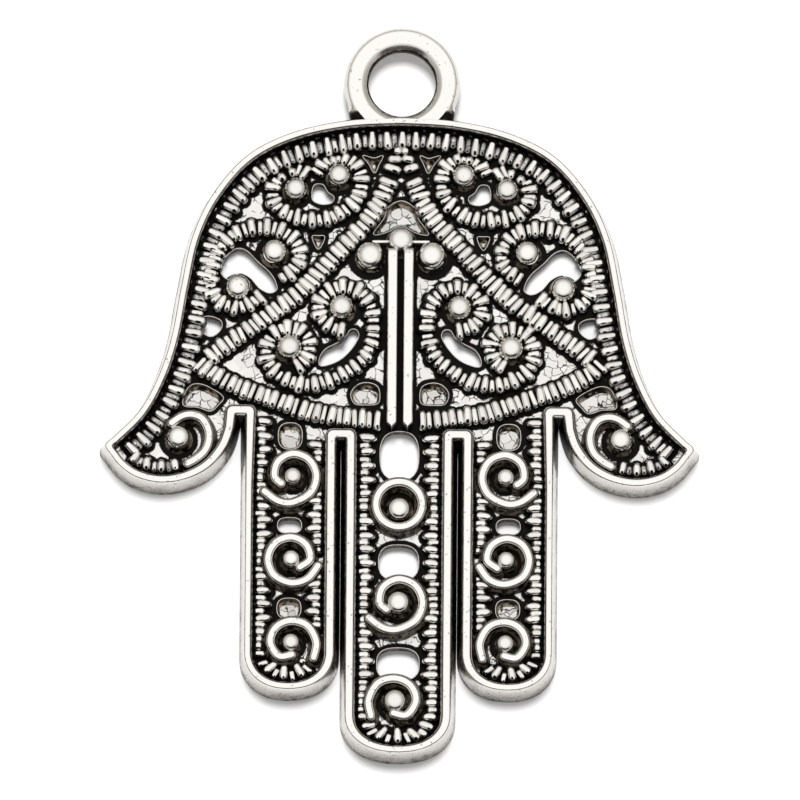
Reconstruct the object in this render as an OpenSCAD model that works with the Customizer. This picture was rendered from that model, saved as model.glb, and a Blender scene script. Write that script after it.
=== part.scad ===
// A hand-shaped pendant, cast in one piece of silver-coloured alloy.
// It lies on its flat back with the bail towards +Y. The origin is in the middle
// of its outline, on the back. Everything is symmetric about X = 0, apart from
// the three scrolls of the middle finger.

/* [Casting] */
// Width across the two thumb tips, at the back
hand_w = 48; // [44:0.5:56]
// Height of the palm, from the top of the thumb slots to the crown, at the back
palm_h = 24; // [22:0.5:28]
// Thickness from the back to the flat top of the rim
casting_t = 3; // [2.6:0.1:4]
// Thickness of the ground that the filigree stands on
ground_t = 1.2; // [0.9:0.1:1.6]
// How far the outer walls lean out from the rim down to the back
draft = 0.38; // [0.2:0.02:0.4]

/* [Rim] */
// Width of the rim's flat top
rim_w = 0.6; // [0.45:0.05:0.75]
// Width of the rim's flat top beside the slots
slot_rim_w = 0.79; // [0.7:0.01:0.9]

/* [Fingers] */
// Width of the middle finger over its rims
middle_w = 8.5; // [8:0.1:9.5]
// Length of the middle finger, from the top of the thumb slots
middle_len = 28.7; // [26:0.1:33]
// Width of each side finger over its rims
side_w = 7.2; // [6.8:0.1:7.8]
// Length of each side finger, from the top of the thumb slots
side_len = 23.6; // [21:0.1:25]
// Width of the slots between the fingers, at the top of the rim
slot_w = 0.85; // [0.82:0.01:1.2]
// How much lower the finger slots start than the thumb slots
slot_drop = 1.9; // [1:0.1:3]
// Height of the round end of a finger's field
end_h = 2.5; // [2:0.1:3]

/* [Bail] */
// Outer radius of the bail at its widest
bail_r = 4.65; // [4:0.05:5.5]
// Thickness of the bail, which is flush with the rim's flat top
bail_t = 1.5; // [1.2:0.05:2.5]
// Height of the bail's leaning edge, from its flat top down to its widest
bail_edge_h = 0.9; // [0.5:0.05:1.1]
// Radius of the hole through the bail
bore_r = 2.7; // [2:0.05:3]
// Distance from the crown's edge at the back to the middle of the hole
bail_rise = 2.45; // [1.8:0.05:3]
// Width of the sloped edge round the front of the hole
bore_edge_w = 0.5; // [0.2:0.05:0.7]
// Depth of that sloped edge
bore_edge_h = 0.35; // [0.2:0.05:0.6]

/* [Ribs] */
// Width of a rib at its foot
rib_w = 0.42; // [0.3:0.02:0.5]
// Distance from one rib to the next
rib_pitch = 0.6; // [0.54:0.02:1]
// Height of a long rib over the ground
rib_h = 1.15; // [0.8:0.05:1.4]
// Height of a short rib over the ground
short_rib_h = 0.9; // [0.6:0.05:1.2]
// Length of the ribs along the dome's rim
border_rib_len = 1.4; // [1:0.1:1.8]
// Length of the ribs along the rim under the thumbs
thumb_rib_len = 1.1; // [0.8:0.1:1.4]
// Length of the ribs of the straight bands and the arc band
band_rib_len = 1.6; // [1.2:0.1:2]
// Length of the ribs of the coiled bands
coil_rib_len = 1.3; // [1:0.1:1.6]
// Length of the ribs along the fingers
finger_rib_len = 1.25; // [0.9:0.05:1.4]
// Gap between the rim and the ribs beside it
rib_gap = 0.3; // [0.2:0.05:0.5]

/* [Wires and balls] */
// Width of the scroll wires
wire_w = 0.72; // [0.5:0.02:0.9]
// Height of the scroll wires' flat tops over the back
wire_top = 2.8; // [2.3:0.1:2.9]
// Radius of a finger scroll, to the middle of its wire
scroll_r = 1.8; // [1.4:0.05:1.9]
// Width of each of the two bars down the middle of the palm
bar_w = 0.82; // [0.5:0.02:1]
// Width of the groove between the two bars
groove_w = 0.46; // [0.3:0.02:0.7]
// Radius of the palm's balls
ball_r = 0.92; // [0.7:0.02:1.1]
// Radius of the balls in the finger scrolls
finger_ball_r = 0.68; // [0.5:0.02:0.8]
// How far the balls stand over the rim
ball_rise = 0.15; // [0:0.05:0.4]
// Depth of the blind pockets under the ground
pocket_d = 0.55; // [0.3:0.05:0.8]

/* [Hidden] */
$fn = 64;
eps = 0.01;
foot = 0.2;            // how deep ribs, wires and stems are rooted in the ground
crown_w = 0.55;        // a rib's flat crown, as a share of its width
stem_foot = 1.35;      // a ball's stem at its foot and at its neck, in ball radii
stem_neck = 0.8;
tip_reach = 1.09;      // reach of the rim round a thumb tip, in rim widths
tip_round = 0.5;       // how much of the rim's mitre there is rounded off
end_power = 2.2;       // how square the fingers' round ends are, 2 being an ellipse
bail_under = 0.15;     // how far the bail's underside stands back from its widest
crown_relief = 0.1;    // how far the crown under the bail stands back from the hole
side_share = 0.7;      // length of a short rib as a share of a long one: beside the rim,
band_share = 0.9;      // in the straight bands and the arc band,
coil_share = 0.75;     // and in the coils
thumb_bare = 11;       // points of the thumb's outline beside its slot that have no ribs
rim_taper = 6.5;       // length over which a finger's rim narrows below a thumb slot
cross_w = 0.35;        // width of the bar across the top of the two bars
cross_reach = 2.2;     // its half length, in chart cells
SLOT_ROUND = [0.42, 0.3, 0.5];  // corner radius of a slot's top at each level, in half widths
least_rib = 0.45;      // least length of a finger's rib, as a share of a whole one
finger_start = 1.2;    // distance from the top of a slot to the first rib beside it
widest_scroll = 1.06;  // a scroll's widest radius, in its own radii
middle_scroll = 1.03;  // size of the middle finger's scrolls, in scroll radii
middle_ball = 1.28;    // size of their balls, in finger ball radii

// The palm is charted on a grid of cells, one across from the middle and one up
// from the top of the thumb slots. These are the cells in the field's half width
// and in its height, so a chart point is a share of those two sizes.
CELLS = [22.88, 23];
// What lies under a thumb is charted from the field's edge beside the thumb slot, which
// is at this chart x, to the tip
THUMB_SIDE = 13.91;
rim_all = rim_w + draft;
cell = [(hand_w / 2 - tip_reach * rim_all) / CELLS[0], (palm_h - rim_all) / CELLS[1]];

// Edges across the fingers at the inside of their rims, from the middle outwards
web = 2 * slot_rim_w + slot_w;
middle_in = middle_w / 2 - slot_rim_w;
side_in = middle_in + web;
side_out = middle_w / 2 + slot_w + side_w - rim_w;
side_mid = (side_in + side_out) / 2;
slot_mid = side_out + rim_w + slot_w / 2;
thumb_side = slot_mid + web / 2;
thumb_cell = (CELLS[0] * cell[0] - thumb_side) / (CELLS[0] - THUMB_SIDE);

bail_y = palm_h + bail_rise;
y_shift = (middle_len - bail_y - bail_r) / 2;
ball_top = casting_t + ball_rise;

// Chart points down the inside of the rim, from the crown to a thumb tip
DOME = [[0, 23], [4.2, 22.75], [8.4, 21.8], [11.9, 20], [14.5, 17], [16.1, 13.6],
        [16.95, 9.6], [17.7, 5.4], [18.75, 2.05], [20.3, -0.9], [22.5, -3.2]];
TIP = [22.88, -3.45];
// Chart points under the thumb, from its tip to its slot, with the share by which
// the rim has widened to its width beside the slots
THUMB = [[22.55, -3.85, 0], [21.85, -4.7, 0.1], [20.7, -5.45, 0.2], [19, -5.8, 0.3], [17.2, -5.5, 0.4],
         [15.6, -4.6, 0.6], [14.5, -3.2, 0.8], [14, -1.8, 0.9]];

// Chart points along the middle of each band of ribs
CHEVRON = [[1.05, 18.45], [1.9, 16.5], [3.3, 14.6], [4.7, 13.1], [5.9, 11.7], [7.5, 9.95],
           [9.2, 8.5], [10.85, 7.3], [12.4, 6.15], [13.7, 5.3], [15.1, 4.2]];
ARC = [[1.8, -1], [4.2, -0.8], [6.6, -0.5], [9, 0.3], [11.5, 1.1], [13.6, 1.95], [15.2, 2.85], [16, 3.5]];
CROWN_COIL = [[7.7, 19.2], [8.6, 19.6], [9.7, 19.2], [10.3, 18.2], [10.35, 17.1], [9.8, 16.2],
              [8.8, 15.6], [7.6, 15.35], [6.5, 15.3], [5.3, 15.6], [4.2, 16.3], [3.4, 17.2],
              [3.1, 18.4], [3.35, 19.6], [4.2, 20.5], [5.2, 20.7], [6.2, 20.2], [6.75, 19.3]];
SIDE_COIL = [[11.2, 9], [12.1, 8.3], [13.1, 8], [14.2, 8.3], [15, 9], [15.3, 10.1], [15.15, 11.3],
             [14.9, 12.4], [14.3, 13.3], [13.4, 14.2], [12.3, 14.6], [11.1, 14.75], [9.8, 14.6],
             [8.7, 14], [8, 13], [8, 11.9], [8.6, 11.1], [9.4, 10.6]];
HEART_COIL = [[4.7, 6.3], [5.6, 6.55], [6.4, 7.2], [6.65, 8.3], [6.1, 9.3], [5, 9.95], [3.8, 9.85],
              [2.8, 9.2], [2.2, 8.1], [2.05, 6.6], [2.15, 5.5], [2.6, 4.4], [3.4, 3.5], [4.7, 2.6],
              [6, 2.05], [7.3, 1.8], [8.5, 2], [9.6, 2.5], [10.5, 3.4], [10.8, 4.6], [10.4, 5.8],
              [9.4, 6.5], [8.3, 6.5], [7.4, 5.9], [7.1, 4.9], [7.5, 3.8], [8.1, 3.3]];
// Ribs that close the top of the two straight bands: chart x, chart y, turn, share of their length
APEX_RIBS = [[0.3, 21.05, 95, 0.4], [0.55, 20.4, 85, 0.66], [0.75, 19.65, 107, 0.9]];
// The wire that hooks round the thumb's ball
HOOK = [[18.2, -1.5], [17.4, -0.95], [16.6, -0.8], [15.8, -1.1], [15.3, -1.9], [15.2, -2.8],
        [15.5, -3.7], [16.2, -4.4], [16.9, -4.8]];

// Balls of one half: chart x, chart y, size in ball radii
BALLS = [[8.45, 17.8, 0.92], [5, 18.95, 0.92], [10.1, 12.65, 1], [13, 9.75, 1.02], [4.7, 8.15, 1],
         [8.85, 4.85, 1.02], [2.45, 12.5, 1.14]];
// The ball in a thumb and the one ball on the middle line, with the same columns
THUMB_BALL = [17.65, -2.6, 1];
TOP_BALL = [0, 13.85, 1.03];
// Chart heights of the two bars' points and tops
BARS = [-1.75, 13.5];

// Pierced gaps of one half of the palm, as chart points round each
GAPS = [
    [[7, 18.3], [6.3, 18.4], [5.9, 17.8], [5.4, 17.4], [5.6, 16.9], [6.4, 16.8], [7.1, 17.2]],
    [[13.9, 12.5], [13.1, 13.1], [12.3, 12.9], [11.4, 12], [10.6, 11.3], [10.1, 10.6], [9.9, 9.8],
     [10.5, 9.5], [11.3, 9.9], [12, 10.7], [12.9, 11.1], [13.8, 10.6], [14.4, 11.3]],
    [[15.8, 7.4], [15, 7.5], [14.3, 7.1], [14.4, 6.4], [15.1, 5.9], [15.8, 6.3]],
    [[3.5, 6.5], [3.35, 5.9], [4.1, 4.7], [5.1, 3.9], [6.3, 3.55], [6.45, 4.1], [6, 4.9],
     [5.1, 5.4], [4.4, 5.9], [4, 6.5]]
];
// Blind pockets of one half of the palm, in the same form
POCKETS = [
    [[16.9, 1.7], [16, 2], [14.8, 1.5], [14.1, 0.9], [14.5, 0.3], [15.1, -0.2], [16.1, 0.1], [17.3, 0.3]],
    [[3.9, 1.3], [3.4, 2], [2.6, 2.2], [1.8, 1.9], [1.6, 1.1], [1.8, 0.5], [2.7, 0.4], [3.6, 0.5]],
    [[3.1, 20.8], [2.2, 20.6], [1.5, 20.8], [1.8, 20.1], [2.15, 19.4], [2.6, 20.1]],
    [[7.1, 14.1], [6.6, 14.2], [6.1, 14.1], [6.6, 13.1]]
];
// The pocket over the top ball
APEX_POCKET = [[-1, 16.6], [0, 17.1], [1, 16.6], [1.4, 15.6], [2.2, 14.4], [1.2, 14.5], [0, 15.1],
               [-1.2, 14.5], [-2.2, 14.4], [-1.4, 15.6]];

// Where a finger's scrolls stand: share of its length, form, mirrored or not, shift to
// the side in scroll radii. RING is the form of a closed ring.
RING = 3;
SIDE_SCROLLS = [[0.244, 0, true, -0.16], [0.53, 1, false, -0.11], [0.818, 2, true, -0.13]];
MIDDLE_SCROLLS = [[0.275, RING, false, 0], [0.557, 0, false, 0], [0.836, 2, true, -0.13]];
// Forms of the scrolls, from the outer end of the wire inwards: angle, share of the scroll radius
SWIRL = [[209, 1.45], [240, 1.32], [270, 1.21], [315, 1.1], [360, 1.05], [405, 1.03], [450, 1.01],
         [495, 0.93], [540, 0.82], [574, 0.62]];
CURL = [[195, 1.24], [232, 1.17], [270, 1.11], [315, 1.07], [360, 1.03], [405, 1], [450, 0.97],
        [495, 0.92], [540, 0.85], [585, 0.56]];
CROOK = [[-35, 1.24], [0, 1.13], [45, 1.04], [90, 0.96], [135, 0.94], [180, 0.92], [230, 0.84], [275, 0.58]];
FORMS = [SWIRL, CURL, CROOK];

// Angles from and to of the ribs that fan out round a finger's end
END_FAN = [205, 335];

// Gaps and pockets of the fingers: share of the finger's length at the top and at the
// bottom, half width, and whether it goes through
MIDDLE_WINDOWS = [[0.062, 0.2, 1.55, true], [0.385, 0.485, 1.6, true], [0.678, 0.77, 1.7, true]];
SIDE_WINDOWS = [[0.05, 0.133, 0.85, false], [0.38, 0.425, 0.8, true], [0.66, 0.72, 0.9, false]];

// One point of a smooth curve through points p, a share t of the way from point i to the next
function on_curve(p, i, t) =
    let (a = p[max(i - 1, 0)], b = p[i], c = p[i + 1], d = p[min(i + 2, len(p) - 1)])
    b + t / 2 * ((c - a) + t * ((2 * a - 5 * b + 4 * c - d) + t * (3 * b - 3 * c + d - a)));

// An open smooth curve through points p, and a closed one
function curve(p, steps) = [
    for (i = [0:len(p) - 2], k = [0:steps - 1]) on_curve(p, i, k / steps),
    p[len(p) - 1]
];
function closed_curve(p, steps) =
    let (n = len(p), q = [for (i = [-1:n + 1]) p[(i + n) % n]])
    [for (i = [1:n], k = [0:steps - 1]) on_curve(q, i, k / steps)];

// A chart point, or a list of them, in millimetres
function mm(c) = [c[0] * cell[0], c[1] * cell[1]];
function all_mm(list) = [for (c = list) mm(c)];
// The same for chart points under a thumb
function thumb_mm(c) = [thumb_side + (c[0] - THUMB_SIDE) * thumb_cell, c[1] * cell[1]];
function all_thumb_mm(list) = [for (c = list) thumb_mm(c)];
function turned(a, r) = [r * cos(a), r * sin(a)];
function mirrored(p) = [-p[0], p[1]];

// Length run along a path at each of its points
function runs(p) = [
    for (i = 0, s = 0; i < len(p); s = s + norm(p[min(i + 1, len(p) - 1)] - p[i]), i = i + 1) s
];

// Evenly spaced places along a path: x, y and the path's direction there
function stations(p, pitch) =
    let (
        s = runs(p),
        whole = s[len(s) - 1],
        count = max(2, round(whole / pitch)),
        xs = [for (i = [0:len(p) - 1]) [s[i], p[i][0]]],
        ys = [for (i = [0:len(p) - 1]) [s[i], p[i][1]]],
        reach = pitch / 4
    )
    [
        for (k = [0:count])
            let (
                u = whole * k / count,
                a = [lookup(u - reach, xs), lookup(u - reach, ys)],
                b = [lookup(u + reach, xs), lookup(u + reach, ys)]
            )
            [lookup(u, xs), lookup(u, ys), atan2(b[1] - a[1], b[0] - a[0])]
    ];

// Direction of a path at its point i, and the outward normal there
function along(p, i) =
    let (d = p[min(i + 1, len(p) - 1)] - p[max(i - 1, 0)])
    d / norm(d);
function outward(p, i) = let (d = along(p, i)) [-d[1], d[0]];

// Distance outwards from the rim's inner edge. Level 0 is that edge, 1 the outer edge of
// its flat top and 2 the outline at the back. k is 0 on a plain rim and 1 beside a slot.
function rim_at(level, k) =
    level == 0 ? 0 : rim_w + (slot_rim_w - rim_w) * k + (level == 2 ? draft : 0);

// The top of a slot, round its middle x at height y, rounder at the inner edge
function slot_top(x, y, level) =
    let (
        out = rim_at(level, 1),
        half = web / 2 - out,
        r = half * SLOT_ROUND[level],
        top = y - out
    )
    [
        for (a = [0:22.5:90]) [x + half - r, top - r] + turned(a, r),
        for (a = [90:22.5:180]) [x - half + r, top - r] + turned(a, r)
    ];

// The round end of a finger: its middle, its half widths on the right and on the left,
// its depth and the angles from and to
function finger_end(x, y, right, left, depth, from, to) = [
    for (a = [from:11.25:to])
        let (c = cos(a), s = sin(a))
        [
            x + sign(c) * (c > 0 ? right : left) * pow(abs(c), 2 / end_power),
            y - depth * pow(abs(s), 2 / end_power)
        ]
];

// Half of the hand's outline at a level, from the crown round the thumb and the fingers
// to the end of the middle finger
function half_outline(level) =
    let (
        dome = curve(all_mm(DOME), 3),
        thumb = curve([for (c = THUMB) [each thumb_mm(c), c[2]]], 3),
        under = [for (c = thumb) [c[0], c[1]]],
        tip = mm(TIP),
        n1 = outward(dome, len(dome) - 1),
        n2 = outward(under, 0),
        corner = tip + (n1 + n2) / (1 + n1 * n2) * rim_at(level, 0),
        plain = rim_at(level, 0),
        before = corner + tip_round * (dome[len(dome) - 1] + n1 * plain - corner),
        after = corner + tip_round * (under[0] + n2 * plain - corner),
        slotted = rim_at(level, 1),
        side_y = end_h + rim_all - side_len,
        middle_y = end_h + rim_all - middle_len
    )
    [
        for (i = [0:len(dome) - 1]) dome[i] + outward(dome, i) * plain,
        for (t = [0:0.25:1]) (1 - t) * (1 - t) * before + 2 * t * (1 - t) * corner + t * t * after,
        for (i = [0:len(under) - 1]) under[i] + outward(under, i) * rim_at(level, thumb[i][2]),
        each slot_top(slot_mid, 0, level),
        for (t = [0.3:0.35:1])
            [side_out - (1 - t) * (slot_rim_w - rim_w) + rim_at(level, 1 - t), -rim_taper * t],
        each finger_end(side_mid, side_y, side_out - side_mid + plain, side_mid - side_in + slotted,
                        end_h + plain, 0, 180),
        each slot_top((middle_in + side_in) / 2, -slot_drop, level),
        each finger_end(0, middle_y, middle_in + slotted, 0, end_h + plain, 0, 90)
    ];
function outline(level) =
    let (h = half_outline(level), n = len(h))
    [each h, for (i = [n - 2:-1:1]) mirrored(h[i])];

// The middle line of the rim's flat top, where the ground and the bail end inside the rim
function rim_middle() =
    let (inner = outline(0), outer = outline(1))
    [for (i = [0:len(inner) - 1]) (inner[i] + outer[i]) / 2];

// The outline of a wire of width w along a path, with round ends
function wire_outline(p, w) =
    let (
        n = len(p) - 1,
        first = along(p, 0),
        last = along(p, n),
        a0 = atan2(first[1], first[0]),
        a1 = atan2(last[1], last[0])
    )
    [
        for (i = [0:n]) p[i] + outward(p, i) * w / 2,
        for (a = [60:-30:-60]) p[n] + turned(a1 + a, w / 2),
        for (i = [n:-1:0]) p[i] - outward(p, i) * w / 2,
        for (a = [240:-30:120]) p[0] + turned(a0 + a, w / 2)
    ];

// The path of a scroll of radius r
function scroll_path(form, r) = curve([for (c = form) turned(c[0], c[1] * r)], 3);

// The rim with its leaning outer wall: four loops of points joined into a ring
module rim() {
    loops = [outline(2), outline(1), outline(0), outline(0)];
    heights = [0, casting_t, casting_t, 0];
    n = len(loops[0]);
    points = [for (k = [0:3], p = loops[k]) [p[0], p[1], heights[k]]];
    faces = [
        for (k = [0:3], i = [0:n - 1])
            let (j = (i + 1) % n, m = (k + 1) % 4)
            [k * n + i, k * n + j, m * n + j, m * n + i]
    ];
    polyhedron(points, faces);
}

// The ground under the filigree, with its pierced gaps and blind pockets
module ground() {
    difference() {
        linear_extrude(ground_t) polygon(rim_middle());
        both_halves() {
            for (g = GAPS) opening(closed_curve(all_mm(g), 2), true);
            for (g = POCKETS) opening(closed_curve(all_mm(g), 2), false);
            for (w = SIDE_WINDOWS) window(w, side_len, side_mid + SIDE_SCROLLS[0][3] * scroll_r);
        }
        opening(closed_curve(all_mm(APEX_POCKET), 2), false);
        for (w = MIDDLE_WINDOWS) window(w, middle_len, 0);
    }
}

// A cut in the ground, right through or to the depth of a pocket
module opening(points, through) {
    bottom = through ? -1 : ground_t - pocket_d;
    translate([0, 0, bottom]) linear_extrude(casting_t) polygon(points);
}

// A cut in a finger between two scrolls: a window row, the finger's length and its middle
module window(row, length, x) {
    high = (row[1] - row[0]) * length / 2;
    middle = (row[1] + row[0]) * length / 2;
    points = [for (a = [0:15:345]) [x, -middle] + squared(a, row[2], high)];
    opening(points, row[3]);
}
function squared(a, w, h) = [
    sign(cos(a)) * w * sqrt(abs(cos(a))),
    sign(sin(a)) * h * sqrt(abs(sin(a)))
];

// One rib, with its middle on the origin and its length along Y, rooted in the ground
module rib(length, high) {
    top = rib_w * crown_w / 2;
    deep = high + foot;
    translate([0, 0, ground_t - foot]) rotate([90, 0, 0])
        linear_extrude(length, center = true)
            polygon([[-rib_w / 2, 0], [rib_w / 2, 0], [top, deep], [-top, deep]]);
}

// The lists of ribs below have one row for each rib: x, y, turn, length, height.
// Long and high ribs take turns with short and low ones.
function rib_row(x, y, turn, i, length, short_share) =
    let (long = i % 2 == 0)
    [x, y, turn, long ? length : length * short_share, long ? rib_h : short_rib_h];
function mirrored_rib(r) = [-r[0], r[1], -r[2], r[3], r[4]];

// Ribs across a path
function band(points, length, short_share) =
    let (places = stations(curve(points, 4), rib_pitch))
    [for (i = [0:len(places) - 1]) let (p = places[i]) rib_row(p[0], p[1], p[2], i, length, short_share)];

// Ribs along the inside of the rim: path, length, and how many are left out at its start and end
function border(path, length, skip) =
    let (
        inset = rib_gap + length / 2,
        inside = [for (i = [0:len(path) - 1]) path[i] - outward(path, i) * inset],
        places = stations(inside, rib_pitch)
    )
    [
        for (i = [skip[0]:len(places) - 1 - skip[1]])
            let (p = places[i])
            rib_row(p[0], p[1], p[2], i, length, side_share)
    ];

// Ribs down one side of a finger, each cut short where a scroll comes near. edge is the
// field's edge and dir points inwards. A scroll's row is its middle and its outer radius.
function finger_ribs(edge, top, bottom, dir, scrolls) =
    let (count = floor((top - bottom) / rib_pitch), start = edge + dir * rib_gap / 2)
    [
        for (i = [0:count])
            let (
                y = top - i * (top - bottom) / count,
                r = rib_row(start, y, 90, i, finger_rib_len, side_share),
                length = min(r[3], min([for (s = scrolls) room(start, y, dir, s)]))
            )
            if (length > least_rib * finger_rib_len) [start + dir * length / 2, y, 90, length, r[4]]
    ];
function room(x, y, dir, s) =
    let (dy = y - s[1], reach = s[2] + rib_gap / 2)
    abs(dy) >= reach ? finger_rib_len : dir * (s[0] - x) - sqrt(reach * reach - dy * dy);

// Ribs that fan out round the end of a finger
function end_ribs(x, y, half, depth) =
    let (
        fan = END_FAN[1] - END_FAN[0],
        count = round(fan * PI / 180 * (half + depth) / 2 / rib_pitch)
    )
    [
        for (i = [0:count])
            let (
                a = END_FAN[0] + fan * i / count,
                turn = atan2(sin(a) * depth, cos(a) * half) - 90,
                r = rib_row(x, y, turn, i, finger_rib_len, side_share),
                out = [(half - rib_gap) * cos(a), (depth - rib_gap) * sin(a)]
            )
            [x + out[0] + sin(turn) * r[3] / 2, y + out[1] - cos(turn) * r[3] / 2, turn, r[3], r[4]]
    ];

// Rows of a finger's scrolls for its ribs: middle and outer radius
function scroll_rooms(rows, length, x, size) =
    [for (s = rows) [x + s[3] * scroll_r, -s[0] * length, scroll_r * size * widest_scroll + wire_w / 2]];

// A flat-topped wire along a path
module wire(path, w) {
    translate([0, 0, ground_t - foot]) linear_extrude(wire_top - ground_t + foot)
        polygon(wire_outline(path, w));
}

// A ball on its cone-shaped stem
module ball(x, y, r) {
    middle = ball_top - r;
    translate([x, y, ground_t - foot])
        cylinder(h = middle - ground_t + foot, r1 = r * stem_foot, r2 = r * stem_neck);
    translate([x, y, middle]) sphere(r);
}

// The scrolls of a finger, with their balls
module scrolls(rows, length, x, size, ball_size) {
    for (row = rows) {
        r = scroll_r * size;
        middle = [x + row[3] * scroll_r, -row[0] * length];
        translate([middle[0], middle[1], 0]) mirror([row[2] ? 1 : 0, 0, 0])
            if (row[1] == RING)
                ring(r);
            else
                wire(scroll_path(FORMS[row[1]], r), wire_w);
        ball(middle[0], middle[1], finger_ball_r * ball_size);
    }
}

// A closed round wire of radius r
module ring(r) {
    translate([0, 0, ground_t - foot]) difference() {
        cylinder(h = wire_top - ground_t + foot, r = r + wire_w / 2);
        translate([0, 0, -eps]) cylinder(h = casting_t, r = r - wire_w / 2);
    }
}

// The two bars down the middle of the palm, with their points, and the bar across their top
module bars() {
    low = BARS[0] * cell[1];
    high = BARS[1] * cell[1];
    both_halves()
        translate([0, 0, ground_t - foot]) linear_extrude(casting_t - ground_t + foot)
            polygon([
                [groove_w / 2, low + bar_w / 2], [groove_w / 2 + bar_w / 2, low],
                [groove_w / 2 + bar_w, low + bar_w / 2], [groove_w / 2 + bar_w, high], [groove_w / 2, high]
            ]);
    cross = cross_reach * cell[0];
    translate([-cross, high - bar_w / 8, ground_t - foot]) cube([2 * cross, cross_w, short_rib_h + foot]);
}

// The round bail, before its hole, cut off inside the rim
module bail() {
    under = casting_t - bail_t;
    difference() {
        translate([0, bail_y, 0]) rotate_extrude()
            polygon([
                [0, under], [bail_r - bail_under, under], [bail_r, casting_t - bail_edge_h],
                [bail_r - draft, casting_t], [0, casting_t]
            ]);
        translate([0, 0, -1]) linear_extrude(casting_t + 2) polygon(rim_middle());
    }
}
module bail_hole() {
    under = casting_t - bail_t;
    translate([0, bail_y, -1]) cylinder(h = casting_t + 2, r = bore_r);
    translate([-bail_r, bail_y - bore_r - crown_relief, -1]) cube([2 * bail_r, 2 * bore_r, under + 1]);
    translate([0, bail_y, casting_t - bore_edge_h])
        cylinder(h = bore_edge_h + eps, r1 = bore_r, r2 = bore_r + bore_edge_w);
}

module both_halves() {
    children();
    mirror([1, 0, 0]) children();
}

// All ribs of one half, apart from those of the middle finger
function half_ribs() =
    let (
        dome = curve(all_mm(DOME), 3),
        under = curve(all_thumb_mm(THUMB), 3),
        low = end_h + rim_all - side_len,
        rooms = scroll_rooms(SIDE_SCROLLS, side_len, side_mid, 1)
    )
    [
        each border(dome, border_rib_len, [1, 1]),
        each border([for (i = [0:len(under) - 1 - thumb_bare]) under[i]], thumb_rib_len, [2, 0]),
        for (line = [CHEVRON, ARC]) each band(all_mm(line), band_rib_len, band_share),
        for (coil = [CROWN_COIL, SIDE_COIL, HEART_COIL]) each band(all_mm(coil), coil_rib_len, coil_share),
        for (r = APEX_RIBS) [r[0] * cell[0], r[1] * cell[1], r[2], band_rib_len * r[3], short_rib_h],
        each finger_ribs(side_out, -finger_start, low, -1, rooms),
        each finger_ribs(side_in, -slot_drop - finger_start, low, 1, rooms),
        each end_ribs(side_mid, low, side_out - side_mid, end_h)
    ];

// The ribs on the middle line and in the middle finger
function middle_ribs() =
    let (
        low = end_h + rim_all - middle_len,
        top = -slot_drop - finger_start / 2,
        rooms = scroll_rooms(MIDDLE_SCROLLS, middle_len, 0, middle_scroll)
    )
    [
        [0, palm_h - rim_all - rib_gap - border_rib_len / 2, 0, border_rib_len, rib_h],
        each finger_ribs(-middle_in, top, low, 1, rooms),
        each finger_ribs(middle_in, top, low, -1, rooms),
        each end_ribs(0, low, middle_in, end_h)
    ];

module ribs() {
    half = half_ribs();
    rows = [each half, for (r = half) mirrored_rib(r), each middle_ribs()];
    for (r = rows) translate([r[0], r[1], 0]) rotate(r[2]) rib(r[3], r[4]);
}

// The wires and balls of the palm
module palm_wires() {
    thumb_ball = thumb_mm(THUMB_BALL);
    both_halves() {
        wire(curve(all_thumb_mm(HOOK), 3), wire_w);
        for (b = BALLS) ball(b[0] * cell[0], b[1] * cell[1], ball_r * b[2]);
        ball(thumb_ball[0], thumb_ball[1], ball_r * THUMB_BALL[2]);
    }
    ball(TOP_BALL[0], TOP_BALL[1] * cell[1], ball_r * TOP_BALL[2]);
}

// The ground, the rim and the bail, with the bail's hole
module plate() {
    difference() {
        union() {
            ground();
            rim();
            bail();
        }
        bail_hole();
    }
}

// The whole casting, which is one solid
module hamsa_casting() {
    color("silver") translate([0, y_shift, 0]) union() {
        plate();
        ribs();
        bars();
        palm_wires();
        both_halves() scrolls(SIDE_SCROLLS, side_len, side_mid, 1, 1);
        scrolls(MIDDLE_SCROLLS, middle_len, 0, middle_scroll, middle_ball);
    }
}

hamsa_casting();
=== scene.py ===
"""A hamsa pendant cast in antique silver, lying on its flat back on a pale floor.

The casting is dressed as six surfaces: the plate with its rim, the bail, the ribs, the
balls, the wires and the bars. Every shape is worked out in millimetres in the palm's own
frame, with y = 0 at the top of the thumb slots, and then moved to the part's frame.
"""

import logging
import math
from dataclasses import dataclass, field
from enum import Enum

import bpy
import numpy as np
from mathutils import Matrix, Vector
from mathutils.geometry import delaunay_2d_cdt
from numpy.typing import NDArray


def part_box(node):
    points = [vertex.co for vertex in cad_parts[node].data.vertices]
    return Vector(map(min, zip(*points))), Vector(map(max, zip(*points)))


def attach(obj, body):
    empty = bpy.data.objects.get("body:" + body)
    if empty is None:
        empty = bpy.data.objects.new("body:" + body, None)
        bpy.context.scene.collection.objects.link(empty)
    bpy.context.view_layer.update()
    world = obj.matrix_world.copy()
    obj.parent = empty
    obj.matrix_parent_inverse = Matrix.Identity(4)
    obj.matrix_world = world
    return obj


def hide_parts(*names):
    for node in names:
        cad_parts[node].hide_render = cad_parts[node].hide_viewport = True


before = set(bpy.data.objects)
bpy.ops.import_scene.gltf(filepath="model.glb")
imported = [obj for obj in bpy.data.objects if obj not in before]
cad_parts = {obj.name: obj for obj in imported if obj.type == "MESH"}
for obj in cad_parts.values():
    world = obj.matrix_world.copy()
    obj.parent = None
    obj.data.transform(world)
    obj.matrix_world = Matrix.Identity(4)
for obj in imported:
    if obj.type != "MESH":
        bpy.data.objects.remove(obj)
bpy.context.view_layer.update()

Array = NDArray[np.float64]
Indices = NDArray[np.int64]

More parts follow.
